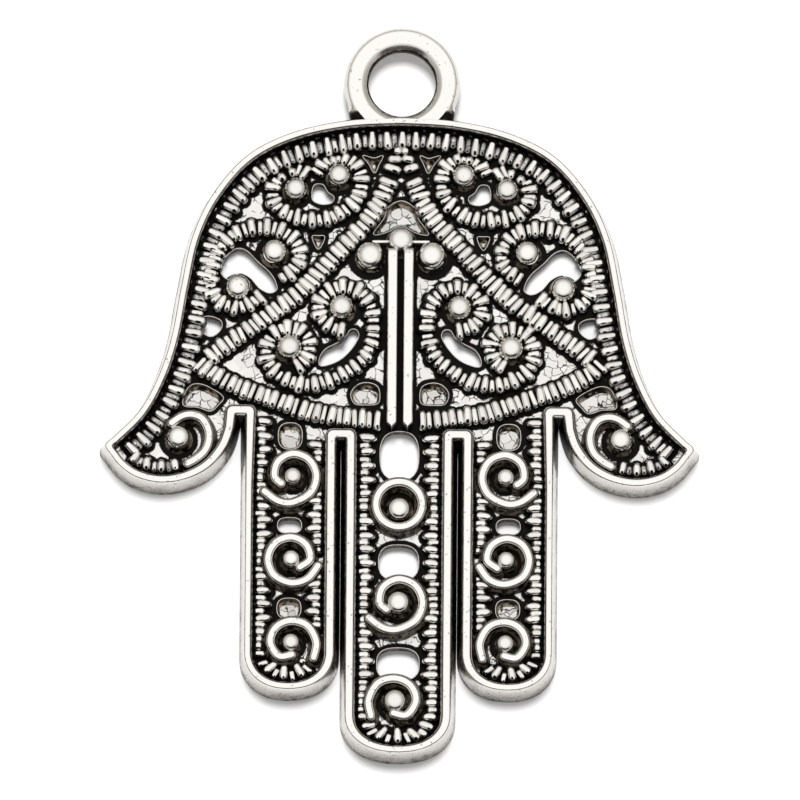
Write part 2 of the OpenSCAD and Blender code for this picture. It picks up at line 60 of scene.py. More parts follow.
NODE = "hamsa_casting"
BODY = "root"
MM = 0.001
LOW, HIGH = (np.array(corner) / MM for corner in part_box(NODE))
LOG = logging.getLogger("pendant")
VALUES = ("wear_and_shade", "tone", "crackle", "reflection_eye_across", "reflection_eye_along")
# Place from the middle of a rib's dark eye, a painted reflection, in shares of its size, of a vertex that is
# near none
AWAY = 9.0
# The triangulation takes points nearer than this for one
MERGE = 1e-7
# The least square of a length that is divided by, and the least half width of a wire's row
TINY = 1e-12
LEAST_HALF = 0.02


class Level(Enum):
    """Levels of the rim's outline, from the field outwards."""

    INNER = 0
    OUTER = 1
    BACK = 2


class Form(Enum):
    """Forms of a finger's scroll."""

    SWIRL = "swirl"
    CURL = "curl"
    CROOK = "crook"
    RING = "ring"


# The palm's chart: one cell across from the middle and one up from the thumb slots
DOME = [[0, 23], [4.2, 22.75], [8.4, 21.8], [11.9, 20], [14.5, 17], [16.1, 13.6],
        [16.95, 9.6], [17.7, 5.4], [18.75, 2.05], [20.3, -0.9], [22.5, -3.2]]
TIP = [22.88, -3.45]
THUMB = [[22.55, -3.85, 0], [21.85, -4.7, 0.1], [20.7, -5.45, 0.2], [19, -5.8, 0.3],
         [17.2, -5.5, 0.4], [15.6, -4.6, 0.6], [14.5, -3.2, 0.8], [14, -1.8, 0.9]]
CHEVRON = [[1.05, 18.45], [1.9, 16.5], [3.3, 14.6], [4.7, 13.1], [5.9, 11.7], [7.5, 9.95],
           [9.2, 8.5], [10.85, 7.3], [12.4, 6.15], [13.7, 5.3], [15.1, 4.2]]
ARC = [[1.8, -1], [4.2, -0.8], [6.6, -0.5], [9, 0.3], [11.5, 1.1], [13.6, 1.95], [15.2, 2.85], [16, 3.5]]
CROWN_COIL = [[7.7, 19.2], [8.6, 19.6], [9.7, 19.2], [10.3, 18.2], [10.35, 17.1], [9.8, 16.2],
              [8.8, 15.6], [7.6, 15.35], [6.5, 15.3], [5.3, 15.6], [4.2, 16.3], [3.4, 17.2],
              [3.1, 18.4], [3.35, 19.6], [4.2, 20.5], [5.2, 20.7], [6.2, 20.2], [6.75, 19.3]]
SIDE_COIL = [[11.2, 9], [12.1, 8.3], [13.1, 8], [14.2, 8.3], [15, 9], [15.3, 10.1], [15.15, 11.3],
             [14.9, 12.4], [14.3, 13.3], [13.4, 14.2], [12.3, 14.6], [11.1, 14.75], [9.8, 14.6],
             [8.7, 14], [8, 13], [8, 11.9], [8.6, 11.1], [9.4, 10.6]]
HEART_COIL = [[4.7, 6.3], [5.6, 6.55], [6.4, 7.2], [6.65, 8.3], [6.1, 9.3], [5, 9.95], [3.8, 9.85],
              [2.8, 9.2], [2.2, 8.1], [2.05, 6.6], [2.15, 5.5], [2.6, 4.4], [3.4, 3.5], [4.7, 2.6],
              [6, 2.05], [7.3, 1.8], [8.5, 2], [9.6, 2.5], [10.5, 3.4], [10.8, 4.6], [10.4, 5.8],
              [9.4, 6.5], [8.3, 6.5], [7.4, 5.9], [7.1, 4.9], [7.5, 3.8], [8.1, 3.3]]
# Chart x, chart y, turn, share of a band rib's length
APEX_RIBS = [[0.3, 21.05, 95, 0.4], [0.55, 20.4, 85, 0.66], [0.75, 19.65, 107, 0.9]]
# Chart x of the field's edge beside a thumb slot
THUMB_SIDE = 13.91
HOOK = [[18.2, -1.5], [17.4, -0.95], [16.6, -0.8], [15.8, -1.1], [15.3, -1.9], [15.2, -2.8],
        [15.5, -3.7], [16.2, -4.4], [16.9, -4.8]]
# Chart x, chart y, size in ball radii
BALLS = [[8.45, 17.8, 0.92], [5, 18.95, 0.92], [10.1, 12.65, 1], [13, 9.75, 1.02], [4.7, 8.15, 1],
         [8.85, 4.85, 1.02], [2.45, 12.4, 1.18]]
THUMB_BALL = [17.65, -2.6, 1]
TOP_BALL = [0, 13.65, 1.12]
GAPS = [
    [[7, 18.3], [6.3, 18.4], [5.9, 17.8], [5.4, 17.4], [5.6, 16.9], [6.4, 16.8], [7.1, 17.2]],
    [[13.9, 12.5], [13.1, 13.1], [12.3, 12.9], [11.4, 12], [10.6, 11.3], [10.1, 10.6], [9.9, 9.8],
     [10.5, 9.5], [11.3, 9.9], [12, 10.7], [12.9, 11.1], [13.8, 10.6], [14.4, 11.3]],
    [[15.8, 7.4], [15, 7.5], [14.3, 7.1], [14.4, 6.4], [15.1, 5.9], [15.8, 6.3]],
    [[3.5, 6.5], [3.35, 5.9], [4.1, 4.7], [5.1, 3.9], [6.3, 3.55], [6.45, 4.1], [6, 4.9],
     [5.1, 5.4], [4.4, 5.9], [4, 6.5]],
]
POCKETS = [
    [[16.9, 1.7], [16, 2], [14.8, 1.5], [14.1, 0.9], [14.5, 0.3], [15.1, -0.2], [16.1, 0.1], [17.3, 0.3]],
    [[3.9, 1.3], [3.4, 2], [2.6, 2.2], [1.8, 1.9], [1.6, 1.1], [1.8, 0.5], [2.7, 0.4], [3.6, 0.5]],
    [[3.1, 20.8], [2.2, 20.6], [1.5, 20.8], [1.8, 20.1], [2.15, 19.4], [2.6, 20.1]],
    [[7.1, 14.1], [6.6, 14.2], [6.1, 14.1], [6.6, 13.1]],
]
APEX_POCKET = [[-1, 16.6], [0, 17.1], [1, 16.6], [1.4, 15.6], [2.2, 14.4], [1.2, 14.5], [0, 15.1],
               [-1.2, 14.5], [-2.2, 14.4], [-1.4, 15.6]]
# Chart heights of the two bars' points and tops
BARS = [-1.75, 13.5]
# Share of the finger's length, form, mirrored or not, shift to the side in scroll radii
SIDE_SCROLLS = [
    (0.244, Form.SWIRL, True, -0.16), (0.53, Form.CURL, False, -0.11), (0.818, Form.CROOK, True, -0.13),
]
MIDDLE_SCROLLS = [
    (0.2795, Form.RING, False, 0.0), (0.557, Form.SWIRL, False, 0.0), (0.836, Form.CROOK, True, -0.13),
]
# Angle and share of the scroll radius, from the outer end of the wire inwards
SCROLL_PATHS = {
    Form.SWIRL: [[209, 1.45], [240, 1.32], [270, 1.21], [315, 1.1], [360, 1.05], [405, 1.03],
                 [450, 1.01], [495, 0.93], [540, 0.82], [574, 0.62]],
    Form.CURL: [[195, 1.24], [232, 1.17], [270, 1.11], [315, 1.07], [360, 1.03], [405, 1],
                [450, 0.97], [495, 0.92], [540, 0.85], [585, 0.56]],
    Form.CROOK: [[-35, 1.24], [0, 1.13], [45, 1.04], [90, 0.96], [135, 0.94], [180, 0.92],
                 [230, 0.84], [275, 0.58]],
}
# Share of the finger's length at the top and at the bottom, half width, goes through or not
MIDDLE_WINDOWS = [(0.062, 0.2, 1.55, True), (0.385, 0.485, 1.6, True), (0.678, 0.77, 1.7, True)]
SIDE_WINDOWS = [(0.048, 0.138, 0.95, False), (0.376, 0.43, 0.95, True), (0.655, 0.725, 0.95, False)]


def smooth_line(points: list | Array, steps: int, closed: bool = False) -> Array:
    """Runs a Catmull-Rom curve through points.

    Each stretch from point b to point c is b + t/2 ((c - a) + t ((2a - 5b + 4c - d) +
    t (3b - 3c + d - a))), with a and d the points before and after.

    Args:
        points: Rows of coordinates.
        steps: How many points each stretch gives.
        closed: Whether the last point runs on into the first.

    Returns:
        The points of the curve, with the last one given only where it is open.
    """
    p = np.asarray(points, float)
    if closed:
        a, b, c, d = (np.roll(p, shift, axis=0) for shift in (1, 0, -1, -2))
    else:
        padded = np.vstack([p[:1], p, p[-1:]])
        a, b, c, d = padded[:-3], padded[1:-2], padded[2:-1], padded[3:]
    t = (np.arange(steps) / steps)[None, :, None]
    a, b, c, d = (q[:, None, :] for q in (a, b, c, d))
    rows = b + t / 2 * ((c - a) + t * ((2 * a - 5 * b + 4 * c - d) + t * (3 * b - 3 * c + d - a)))
    line = rows.reshape(-1, p.shape[1])
    return line if closed else np.vstack([line, p[-1:]])


def turned(degrees: Array | float, radius: Array | float) -> Array:
    """Points at angles in degrees and radii round the origin."""
    angle = np.radians(degrees)
    return np.stack([radius * np.cos(angle), radius * np.sin(angle)], axis=-1)


def outward(path: Array, closed: bool = False) -> Array:
    """Unit normals to the left of a path, from the chord between each point's neighbours.

    Args:
        path: Points in the plane.
        closed: Whether the last point runs on into the first.

    Returns:
        One normal for each point.
    """
    if closed:
        d = np.roll(path, -1, axis=0) - np.roll(path, 1, axis=0)
    else:
        d = np.vstack([path[1:], path[-1:]]) - np.vstack([path[:1], path[:-1]])
    d /= np.linalg.norm(d, axis=1, keepdims=True)
    return np.stack([-d[:, 1], d[:, 0]], axis=1)


def run_lengths(path: Array) -> Array:
    """Length run along a path at each of its points."""
    steps = np.linalg.norm(np.diff(path, axis=0), axis=1)
    return np.concatenate([[0.0], np.cumsum(steps)])


def along(path: Array, places: Array) -> Array:
    """Points of a path at the given lengths along it."""
    s = run_lengths(path)
    return np.stack([np.interp(places, s, path[:, k]) for k in range(path.shape[1])], axis=1)


def stations(path: Array, pitch: float) -> Array:
    """Evenly spaced places along a path.

    Args:
        path: Points in the plane.
        pitch: Distance from one place to the next, rounded to a whole number of them.

    Returns:
        Rows of x, y, the path's direction there in degrees and its curvature.
    """
    whole = run_lengths(path)[-1]
    count = max(2, round(whole / pitch))
    places = np.linspace(0, whole, count + 1)
    chord = along(path, places + pitch / 4) - along(path, places - pitch / 4)
    angle = np.unwrap(np.arctan2(chord[:, 1], chord[:, 0]))
    return np.column_stack([along(path, places), np.degrees(angle), np.gradient(angle, places)])


def mirrored(points: Array) -> Array:
    """The same outline on the other side of the middle, run the other way round."""
    return points[::-1] * [-1, 1]


def inside(points: Array, loop: Array, block: int = 4000) -> NDArray[np.bool_]:
    """Even-odd test: a point is inside where a ray to its right crosses the loop an odd number of times.

    Args:
        points: Points in the plane.
        loop: A closed outline.
        block: How many points are tested at once.

    Returns:
        True for each point inside the loop.
    """
    a, b = loop, np.roll(loop, -1, axis=0)
    found = []
    for part in np.array_split(points, max(1, len(points) // block)):
        x, y = part[:, :1], part[:, 1:]
        spans = (a[:, 1] > y) != (b[:, 1] > y)
        rise = np.where(b[:, 1] == a[:, 1], 1.0, b[:, 1] - a[:, 1])
        crossing = a[:, 0] + (y - a[:, 1]) * (b[:, 0] - a[:, 0]) / rise
        found.append(np.count_nonzero(spans & (x < crossing), axis=1) % 2 == 1)
    return np.concatenate(found)


def distance_to_segments(points: Array, ends: Array, block: int = 2000) -> Array:
    """Distance from each point to the nearest of many thick segments.

    The foot of the perpendicular is held between a segment's two ends, and the segment's
    half thickness is taken off the distance.

    Args:
        points: Points in the plane.
        ends: Rows of x, y of one end, x, y of the other, and the half thickness.
        block: How many points are measured at once.

    Returns:
        One distance for each point, below 0 inside a segment.
    """
    a, b, half = ends[:, 0:2], ends[:, 2:4], ends[:, 4]
    run = b - a
    size = np.maximum((run ** 2).sum(1), TINY)
    found = []
    for part in np.array_split(points, max(1, len(points) // block)):
        to = part[:, None, :] - a
        t = np.clip((to * run).sum(2) / size, 0, 1)
        away = to - t[..., None] * run
        found.append((np.sqrt((away ** 2).sum(2)) - half).min(1))
    return np.concatenate(found)


@dataclass
class Surface:
    """A mesh as arrays, with the values that its finish reads at each vertex.

    wear_and_shade is 1 where handling keeps the metal bright and 0 in the dark recesses, and it also
    carries painted shade in the slots, in the corners at the bail, round what stands on the ground
    and on the pockets' floors. tone is a tone of its own for each small form, lower on walls as
    painted shade, and crackle is 1 on a crackled floor. reflection_eye_across and reflection_eye_along
    are places from the middle of a rib's dark eye, a painted reflection, in shares of its size.
    """

    points: Array
    quads: Indices = field(default_factory=lambda: np.zeros((0, 4), np.int64))
    triangles: Indices = field(default_factory=lambda: np.zeros((0, 3), np.int64))
    wear_and_shade: Array | float = 1.0
    tone: Array | float = 1.0
    crackle: Array | float = 0.0
    reflection_eye_across: Array | float = AWAY
    reflection_eye_along: Array | float = AWAY

    def values(self, name: str) -> Array:
        """One of the named values, at every vertex."""
        return np.broadcast_to(np.asarray(getattr(self, name), float), (len(self.points),))


def joined(surfaces: list[Surface]) -> Surface:
    """Puts surfaces into one, with their indices shifted past each other.

    Args:
        surfaces: The surfaces, in order.

    Returns:
        One surface that holds them all.
    """
    starts = np.cumsum([0] + [len(s.points) for s in surfaces[:-1]])
    return Surface(
        np.vstack([s.points for s in surfaces]),
        np.vstack([s.quads + start for s, start in zip(surfaces, starts)]),
        np.vstack([s.triangles + start for s, start in zip(surfaces, starts)]),
        *(np.concatenate([s.values(name) for s in surfaces]) for name in VALUES),
    )


def strips(rows: Indices, outwards: bool) -> Indices:
    """Quads between each closed row of vertices and the next.

    Args:
        rows: Vertex numbers, one row for each loop, all run counter-clockwise.
        outwards: Whether the rows go outwards, seen from the side that the faces show.

    Returns:
        The quads, with their faces outwards.
    """
    a, b = rows[:-1], rows[1:]
    a_next, b_next = np.roll(a, -1, axis=1), np.roll(b, -1, axis=1)
    corners = [a, b, b_next, a_next] if outwards else [a, a_next, b_next, b]
    return np.stack(corners, axis=-1).reshape(-1, 4)


def fan(loop: Indices, centre: int, upwards: bool) -> Indices:
    """Triangles from a closed loop of vertices to one in its middle.

    Args:
        loop: Vertex numbers, run counter-clockwise seen from above.
        centre: Number of the middle vertex.
        upwards: Whether the faces look up.

    Returns:
        One triangle for each side of the loop.
    """
    ahead = np.roll(loop, -1)
    first, second = (loop, ahead) if upwards else (ahead, loop)
    return np.stack([first, second, np.full_like(loop, centre)], axis=1)


def revolved(centre: Array, profile: Array, wear_and_shade: Array, sides: int) -> Surface:
    """Turns a profile round a vertical axis and closes it at its pole and under its foot.

    A vertex is (cx + r cos a, cy + r sin a, z) for each profile point (r, z) and angle a.

    Args:
        centre: x and y of the axis.
        profile: Rows of radius and height, from the foot to the last ring under the pole.
            The pole is at the height of the last row, whose radius is 0.
        wear_and_shade: The wear at each profile row.
        sides: Number of sides.

    Returns:
        The closed surface.
    """
    angle = np.arange(sides) * 360 / sides
    rings = profile[:-1]
    xy = centre + turned(angle[None, :], rings[:, :1])
    z = np.broadcast_to(rings[:, 1:], xy.shape[:2])
    points = np.dstack([xy, z]).reshape(-1, 3)
    rows = np.arange(len(points)).reshape(len(rings), sides)
    foot, pole = len(points), len(points) + 1
    points = np.vstack([points, [*centre, rings[0, 1]], [*centre, profile[-1, 1]]])
    caps = np.vstack([fan(rows[0], foot, False), fan(rows[-1], pole, True)])
    worn = np.concatenate([np.repeat(wear_and_shade[:-1], sides), [wear_and_shade[0], wear_and_shade[-1]]])
    return Surface(points, strips(rows, False), caps, worn)


def lofted_line(path: Array, half: Array, levels: Array, arc: int) -> Surface:
    """Lofts a flat-topped wire over a path, with round ends.

    At each level the wire's outline is the path moved to both sides by its half width
    less the level's inset, with arc points round each end. The levels are joined by
    quads, and the top and the foot are closed by quads across the path.

    Args:
        path: Points in the plane along the middle of the wire.
        half: Half width at each point.
        levels: Rows of inset, height, wear and tone, from the foot to the top.
        arc: Number of points round an end, or 0 for a plain end.

    Returns:
        The closed surface.
    """
    count = len(path)
    normal = outward(path)
    first = math.degrees(math.atan2(-normal[0, 0], normal[0, 1]))
    last = math.degrees(math.atan2(-normal[-1, 0], normal[-1, 1]))
    swing = np.linspace(-90, 90, arc + 2)[1:-1]
    rings = []
    for inset, height, _, _ in levels:
        reach = np.maximum(half - inset, LEAST_HALF)
        ends = [path + normal * -reach[:, None], path[-1] + turned(last + swing, reach[-1]),
                (path + normal * reach[:, None])[::-1], path[0] + turned(first + 180 + swing, reach[0])]
        loop = np.vstack(ends)
        rings.append(np.column_stack([loop, np.full(len(loop), height)]))
    size = len(rings[0])
    rows = np.arange(len(rings) * size).reshape(len(rings), size)
    right = np.arange(count)
    left = count + arc + (count - 1 - right)
    ladder = np.stack([right[:-1], right[1:], left[1:], left[:-1]], axis=1)
    tips = []
    for start, stop in ((count - 1, count + arc), (2 * count + arc - 1, 2 * count + 2 * arc)):
        edge = np.arange(start, stop + 1) % size
        tips.append(np.stack([np.full(len(edge) - 2, edge[0]), edge[1:-1], edge[2:]], axis=1))
    tip = np.vstack(tips)
    top = rows[-1]
    quads = np.vstack([strips(rows, False), top[ladder], rows[0][ladder[:, ::-1]]])
    triangles = np.vstack([top[tip], rows[0][tip[:, ::-1]]])
    return Surface(np.vstack(rings), quads, triangles, *(np.repeat(levels[:, k], size) for k in (2, 3)))


def patch(loops: list[Array], spacing: float, openings: list[Array]) -> tuple[Array, Indices, Indices]:
    """Fills an outline with triangles, with points on a staggered grid inside it.

    Args:
        loops: The outline and the edges of its openings.
        spacing: Distance between the inner points, or 0 for none.
        openings: Those of the loops that stay empty.

    Returns:
        The points, the triangles with their faces upwards, and the number of the
        vertex at each point of the loops.
    """
    edge_points = np.vstack(loops)
    points = edge_points
    if spacing:
        low, high = loops[0].min(0), loops[0].max(0)
        row_gap = spacing * math.sin(math.radians(60))
        xs, ys = np.meshgrid(np.arange(low[0], high[0], spacing), np.arange(low[1], high[1], row_gap))
        xs[1::2] += spacing / 2
        grid = np.column_stack([xs.ravel(), ys.ravel()])
        grid = grid[inside(grid, loops[0])]
        for hole in openings:
            grid = grid[~inside(grid, hole)]
        ahead = np.vstack([np.roll(loop, -1, axis=0) for loop in loops])
        edges = np.column_stack([edge_points, ahead, np.full(len(ahead), spacing / 2)])
        points = np.vstack([points, grid[distance_to_segments(grid, edges, 500) > 0]])
    starts = np.cumsum([0] + [len(loop) for loop in loops])
    borders = [
        (int(i), int(start + (i + 1 - start) % (stop - start)))
        for start, stop in zip(starts[:-1], starts[1:])
        for i in range(start, stop)
    ]
    flat, _, faces, origins, _, _ = delaunay_2d_cdt([Vector(p) for p in points], borders, [], 0, MERGE)
    flat = np.array([tuple(p) for p in flat])
    faces = np.array(faces)
    middles = flat[faces].mean(1)
    keep = inside(middles, loops[0])
    for hole in openings:
        keep &= ~inside(middles, hole)
    faces = faces[keep]
    a, b, c = (flat[faces[:, k]] for k in range(3))
    signed = (b[:, 0] - a[:, 0]) * (c[:, 1] - a[:, 1]) - (b[:, 1] - a[:, 1]) * (c[:, 0] - a[:, 0])
    faces[signed < 0] = faces[signed < 0][:, ::-1]
    number = np.zeros(len(points), np.int64)
    for new, old in enumerate(origins):
        number[old] = new
    return flat, faces, number[: len(edge_points)]


@dataclass(frozen=True)
class Casting:
    """The casting's driving sizes in millimetres, and the lines and rows that follow from them."""

    # The whole, and the palm with its ground
    hand_w: float = HIGH[0] - LOW[0]
    ball_top: float = HIGH[2]
    ball_rise: float = 0.15
    palm_h: float = 24.0
    ground_t: float = 1.2
    pocket_d: float = 0.55
    # The rim: its flat's width, how far its outer side leans out, and the thumbs' tips
    rim_w: float = 0.6
    slot_rim_w: float = 0.79
    draft: float = 0.38
    tip_reach: float = 1.09
    tip_round: float = 0.5
    tip_points: int = 9
    # Height over which the rim widens below a thumb slot's foot, and the steps that it does so in
    rim_taper: float = 6.5
    taper_steps: tuple[float, ...] = (0.3, 0.65, 1.0)
    # The fingers and the slots between them
    middle_w: float = 8.5
    middle_len: float = 28.7
    side_w: float = 7.2
    side_len: float = 23.6
    end_h: float = 2.5
    end_power: float = 2.2
    end_step: float = 3.75
    slot_w: float = 0.85
    slot_drop: float = 1.9
    slot_round: tuple[float, ...] = (0.42, 0.3, 0.5)
    # The bail, and how far the crown stands back under it
    bail_r: float = 4.65
    bail_t: float = 1.5
    bail_rise: float = 2.45
    bore_r: float = 2.7
    crown_relief: float = 0.1
    # Long and short ribs, and the low ones of the border
    rib_w: float = 0.68
    short_rib_w: float = 0.51
    rib_h: float = 1.15
    short_rib_h: float = 0.9
    low_rib_h: float = 0.7
    roundness: float = 0.7
    teardrop: float = 0.22
    # Where they stand: pitch, length, distance from an edge and lean into a bend of full curvature
    rib_pitch: float = 0.6
    finger_pitch: float = 0.562
    end_pitch: float = 0.88
    border_rib_len: float = 1.75
    thumb_rib_len: float = 1.4
    band_rib_len: float = 1.75
    coil_rib_len: float = 1.6
    finger_rib_len: float = 1.55
    rib_gap: float = 0.14
    lean_in: float = 0.12
    full_bend: float = 0.4
    finger_start: float = 1.2
    end_fan: tuple[float, float] = (205, 335)
    # Shares: short ribs' lengths, widths, the least length, and the bare part under a thumb
    side_share: float = 0.7
    band_share: float = 0.9
    coil_share: float = 0.75
    coil_rib_share: float = 0.95
    finger_rib_share: float = 1.04
    least_rib: float = 0.45
    thumb_bare: float = 0.45
    # Wires and bars
    wire_w: float = 0.72
    wire_top: float = 2.8
    scroll_r: float = 1.8
    widest_scroll: float = 1.06
    middle_scroll: float = 1.03
    bar_w: float = 0.82
    groove_w: float = 0.46
    cross_w: float = 0.35
    cross_reach: float = 2.2
    # Balls, and their stems in shares of the radius
    ball_r: float = 0.96
    finger_ball_r: float = 0.72
    middle_ball: float = 1.32
    ring_ball_drop: float = 0.3
    stem_foot: float = 1.35
    stem_neck: float = 0.8
    # Windows between the fingers' scrolls
    window_power: float = 0.75
    window_shift: float = -0.05
    # Fineness: curve steps, and degrees in an arc's and a window's step
    steps: int = 8
    gap_steps: int = 5
    arc_step: int = 15
    window_step: int = 10

    @property
    def top(self) -> float:
        """Height of the rim's flat top."""
        return self.ball_top - self.ball_rise

    @property
    def rim_all(self) -> float:
        """Width of the rim at the back."""
        return self.rim_w + self.draft

    @property
    def cell(self) -> Array:
        """Width and height of one cell of the palm's chart."""
        wide = (self.hand_w / 2 - self.tip_reach * self.rim_all) / TIP[0]
        return np.array([wide, (self.palm_h - self.rim_all) / DOME[0][1]])

    @property
    def web(self) -> float:
        """Distance between the fields of two fingers."""
        return 2 * self.slot_rim_w + self.slot_w

    @property
    def middle_in(self) -> float:
        """Half width of the middle finger's field."""
        return self.middle_w / 2 - self.slot_rim_w

    @property
    def side_in(self) -> float:
        """Inner edge of a side finger's field."""
        return self.middle_in + self.web

    @property
    def side_out(self) -> float:
        """Outer edge of a side finger's field."""
        return self.middle_w / 2 + self.slot_w + self.side_w - self.rim_w

    @property
    def side_mid(self) -> float:
        """Middle of a side finger's field."""
        return (self.side_in + self.side_out) / 2

    @property
    def bail_y(self) -> float:
        """Height of the bail's middle."""
        return self.palm_h + self.bail_rise

    @property
    def y_shift(self) -> float:
        """How far the palm's frame is moved along y to the part's frame."""
        return LOW[1] + self.middle_len

    def charted(self, rows: list | Array) -> Array:
        """Chart rows with their first two columns in millimetres."""
        rows = np.array(rows, float)
        rows[:, :2] *= self.cell
        return rows

    def thumb_charted(self, rows: list) -> Array:
        """Chart rows under a thumb in millimetres, with x run from the field's edge to the tip.

        Args:
            rows: Rows whose first two columns are chart x and chart y.

        Returns:
            The rows, with those columns in millimetres.
        """
        slot_x = self.side_out + self.rim_w + (self.slot_w + self.web) / 2
        tip_x = TIP[0] * self.cell[0]
        rows = self.charted(rows)
        share = (rows[:, 0] / self.cell[0] - THUMB_SIDE) / (TIP[0] - THUMB_SIDE)
        rows[:, 0] = slot_x + share * (tip_x - slot_x)
        return rows

    def rim_at(self, level: Level, share: Array | float) -> Array | float:
        """Distance outwards from the rim's inner edge.

        Args:
            level: The outline's level.
            share: 0 on a plain rim and 1 beside a slot.

        Returns:
            The distance, or one for each share.
        """
        if level is Level.INNER:
            return 0.0 * share
        leaning = self.draft if level is Level.BACK else 0.0
        return self.rim_w + (self.slot_rim_w - self.rim_w) * share + leaning

    def slot_end(self, x: float, y: float, level: Level) -> Array:
        """The round top of a slot.

        Args:
            x: Middle of the slot.
            y: Height of the field's edge over it.
            level: The outline's level.

        Returns:
            The points, from the slot's right side over to its left.
        """
        out = self.rim_at(level, 1.0)
        half = self.web / 2 - out
        radius = half * self.slot_round[level.value]
        angle = np.arange(0, 91, self.arc_step)
        right = [x + half - radius, y - out - radius] + turned(angle, radius)
        left = [x - half + radius, y - out - radius] + turned(angle + 90, radius)
        return np.vstack([right, left])

    def finger_end(self, x: float, y: float, widths: tuple[float, float], depth: float, last: int) -> Array:
        """The round end of a finger, a half superellipse.

        x is w sign(c) |c|^(2/p) and y is -d |s|^(2/p), with c and s the cosine and sine
        of the angle, w the half width on that side, d the depth and p the end's power.

        Args:
            x: Middle of the finger.
            y: Height where the end begins.
            widths: Half widths on the right and on the left.
            depth: Depth of the end.
            last: The last angle, in degrees from the right.

        Returns:
            The points, from the right.
        """
        angle = np.radians(np.arange(0, last + 1, self.end_step))
        c, s = np.cos(angle), np.sin(angle)
        power = 2 / self.end_power
        side = np.where(c > 0, widths[0], widths[1])
        return np.stack([x + np.sign(c) * side * np.abs(c) ** power, y - depth * np.abs(s) ** power], axis=1)

    def half_outline(self, level: Level) -> Array:
        """Half of the hand's outline at a level.

        The tip between the dome and the thumb's underside is a quadratic curve:
        (1 - t)^2 before + 2 t (1 - t) corner + t^2 after.

        Args:
            level: The outline's level.

        Returns:
            The points, from the crown to the middle finger's end.
        """
        dome = smooth_line(self.charted(DOME), self.steps)
        thumb = smooth_line(self.thumb_charted(THUMB), self.steps)
        under, share = thumb[:, :2], thumb[:, 2:]
        n1, n2 = outward(dome), outward(under)
        plain, slotted = self.rim_at(level, 0.0), self.rim_at(level, 1.0)
        corner = self.charted([TIP])[0] + (n1[-1] + n2[0]) / (1 + n1[-1] @ n2[0]) * plain
        before = corner + self.tip_round * (dome[-1] + n1[-1] * plain - corner)
        after = corner + self.tip_round * (under[0] + n2[0] * plain - corner)
        t = np.linspace(0, 1, self.tip_points)[:, None]
        fade = np.array(self.taper_steps)
        narrowed = self.side_out - (1 - fade) * (self.slot_rim_w - self.rim_w)
        side_y = self.end_h + self.rim_all - self.side_len
        middle_y = self.end_h + self.rim_all - self.middle_len
        widths = (self.side_out - self.side_mid + plain, self.side_mid - self.side_in + slotted)
        slot_x = self.side_out + self.rim_w + self.slot_w / 2
        return np.vstack([
            dome + n1 * plain,
            (1 - t) ** 2 * before + 2 * t * (1 - t) * corner + t * t * after,
            under + n2 * self.rim_at(level, share),
            self.slot_end(slot_x, 0, level),
            np.stack([narrowed + self.rim_at(level, 1 - fade), -self.rim_taper * fade], axis=1),
            self.finger_end(self.side_mid, side_y, widths, self.end_h + plain, 180),
            self.slot_end((self.middle_in + self.side_in) / 2, -self.slot_drop, level),
            self.finger_end(0, middle_y, (self.middle_in + slotted, 0), self.end_h + plain, 90),
        ])

    def outlines(self, longest: float) -> Array:
        """The whole outline at the three levels, counter-clockwise.

        Args:
            longest: Longest step between two points. Longer ones are divided evenly,
                in the same places at every level.

        Returns:
            An array of level, point, and x and y.
        """
        halves = [self.half_outline(level) for level in Level]
        loops = np.array([np.vstack([half * [-1, 1], half[::-1][1:-1]]) for half in halves])
        ahead = np.roll(loops, -1, axis=1)
        count = np.ceil(np.linalg.norm(ahead[1] - loops[1], axis=1) / longest).astype(int)
        count = np.maximum(count, 1)
        source = np.repeat(np.arange(len(count)), count)
        share = (np.arange(len(source)) - np.repeat(np.cumsum(count) - count, count)) / count[source]
        return loops[:, source] + (ahead - loops)[:, source] * share[None, :, None]

    def gaps(self) -> list[Array]:
        """The outlines of the pierced gaps, counter-clockwise."""
        palm = [smooth_line(self.charted(g), self.gap_steps, closed=True) for g in GAPS]
        side = [self.window(w, self.side_len, self.side_shifted) for w in SIDE_WINDOWS if w[3]]
        middle = [self.window(w, self.middle_len, 0) for w in MIDDLE_WINDOWS if w[3]]
        return self.both_sides(palm + side) + middle

    def pockets(self) -> list[Array]:
        """The outlines of the blind pockets, counter-clockwise."""
        palm = [smooth_line(self.charted(g), self.gap_steps, closed=True) for g in POCKETS]
        side = [self.window(w, self.side_len, self.side_shifted) for w in SIDE_WINDOWS if not w[3]]
        apex = smooth_line(self.charted(APEX_POCKET), self.gap_steps, closed=True)[::-1]
        return [*self.both_sides(palm + side), apex]

    @property
    def side_shifted(self) -> float:
        """Middle of the windows in a side finger."""
        return self.side_mid + self.window_shift

    def window(self, row: tuple, length: float, x: float) -> Array:
        """The outline of a window between two scrolls: x is w |cos|^p and y is h |sin|^p, with signs.

        Args:
            row: The window's row: top and bottom as shares of the finger's length, half width.
            length: The finger's length.
            x: Middle of the window.

        Returns:
            The points, counter-clockwise from the right.
        """
        angle = np.radians(np.arange(0, 360, self.window_step))
        c, s = np.cos(angle), np.sin(angle)
        high = (row[1] - row[0]) * length / 2
        middle = (row[1] + row[0]) * length / 2
        xs = x + np.sign(c) * row[2] * np.abs(c) ** self.window_power
        return np.stack([xs, np.sign(s) * high * np.abs(s) ** self.window_power - middle], axis=1)

    def both_sides(self, loops: list[Array]) -> list[Array]:
        """Doubles outlines of the right half.

        Args:
            loops: The outlines.

        Returns:
            Each outline and its mirror image, all counter-clockwise.
        """
        found = []
        for loop in loops:
            ahead = np.roll(loop, -1, axis=0)
            area = (loop[:, 0] * ahead[:, 1] - loop[:, 1] * ahead[:, 0]).sum()
            right = loop if area > 0 else loop[::-1]
            found += [right, mirrored(right)]
        return found

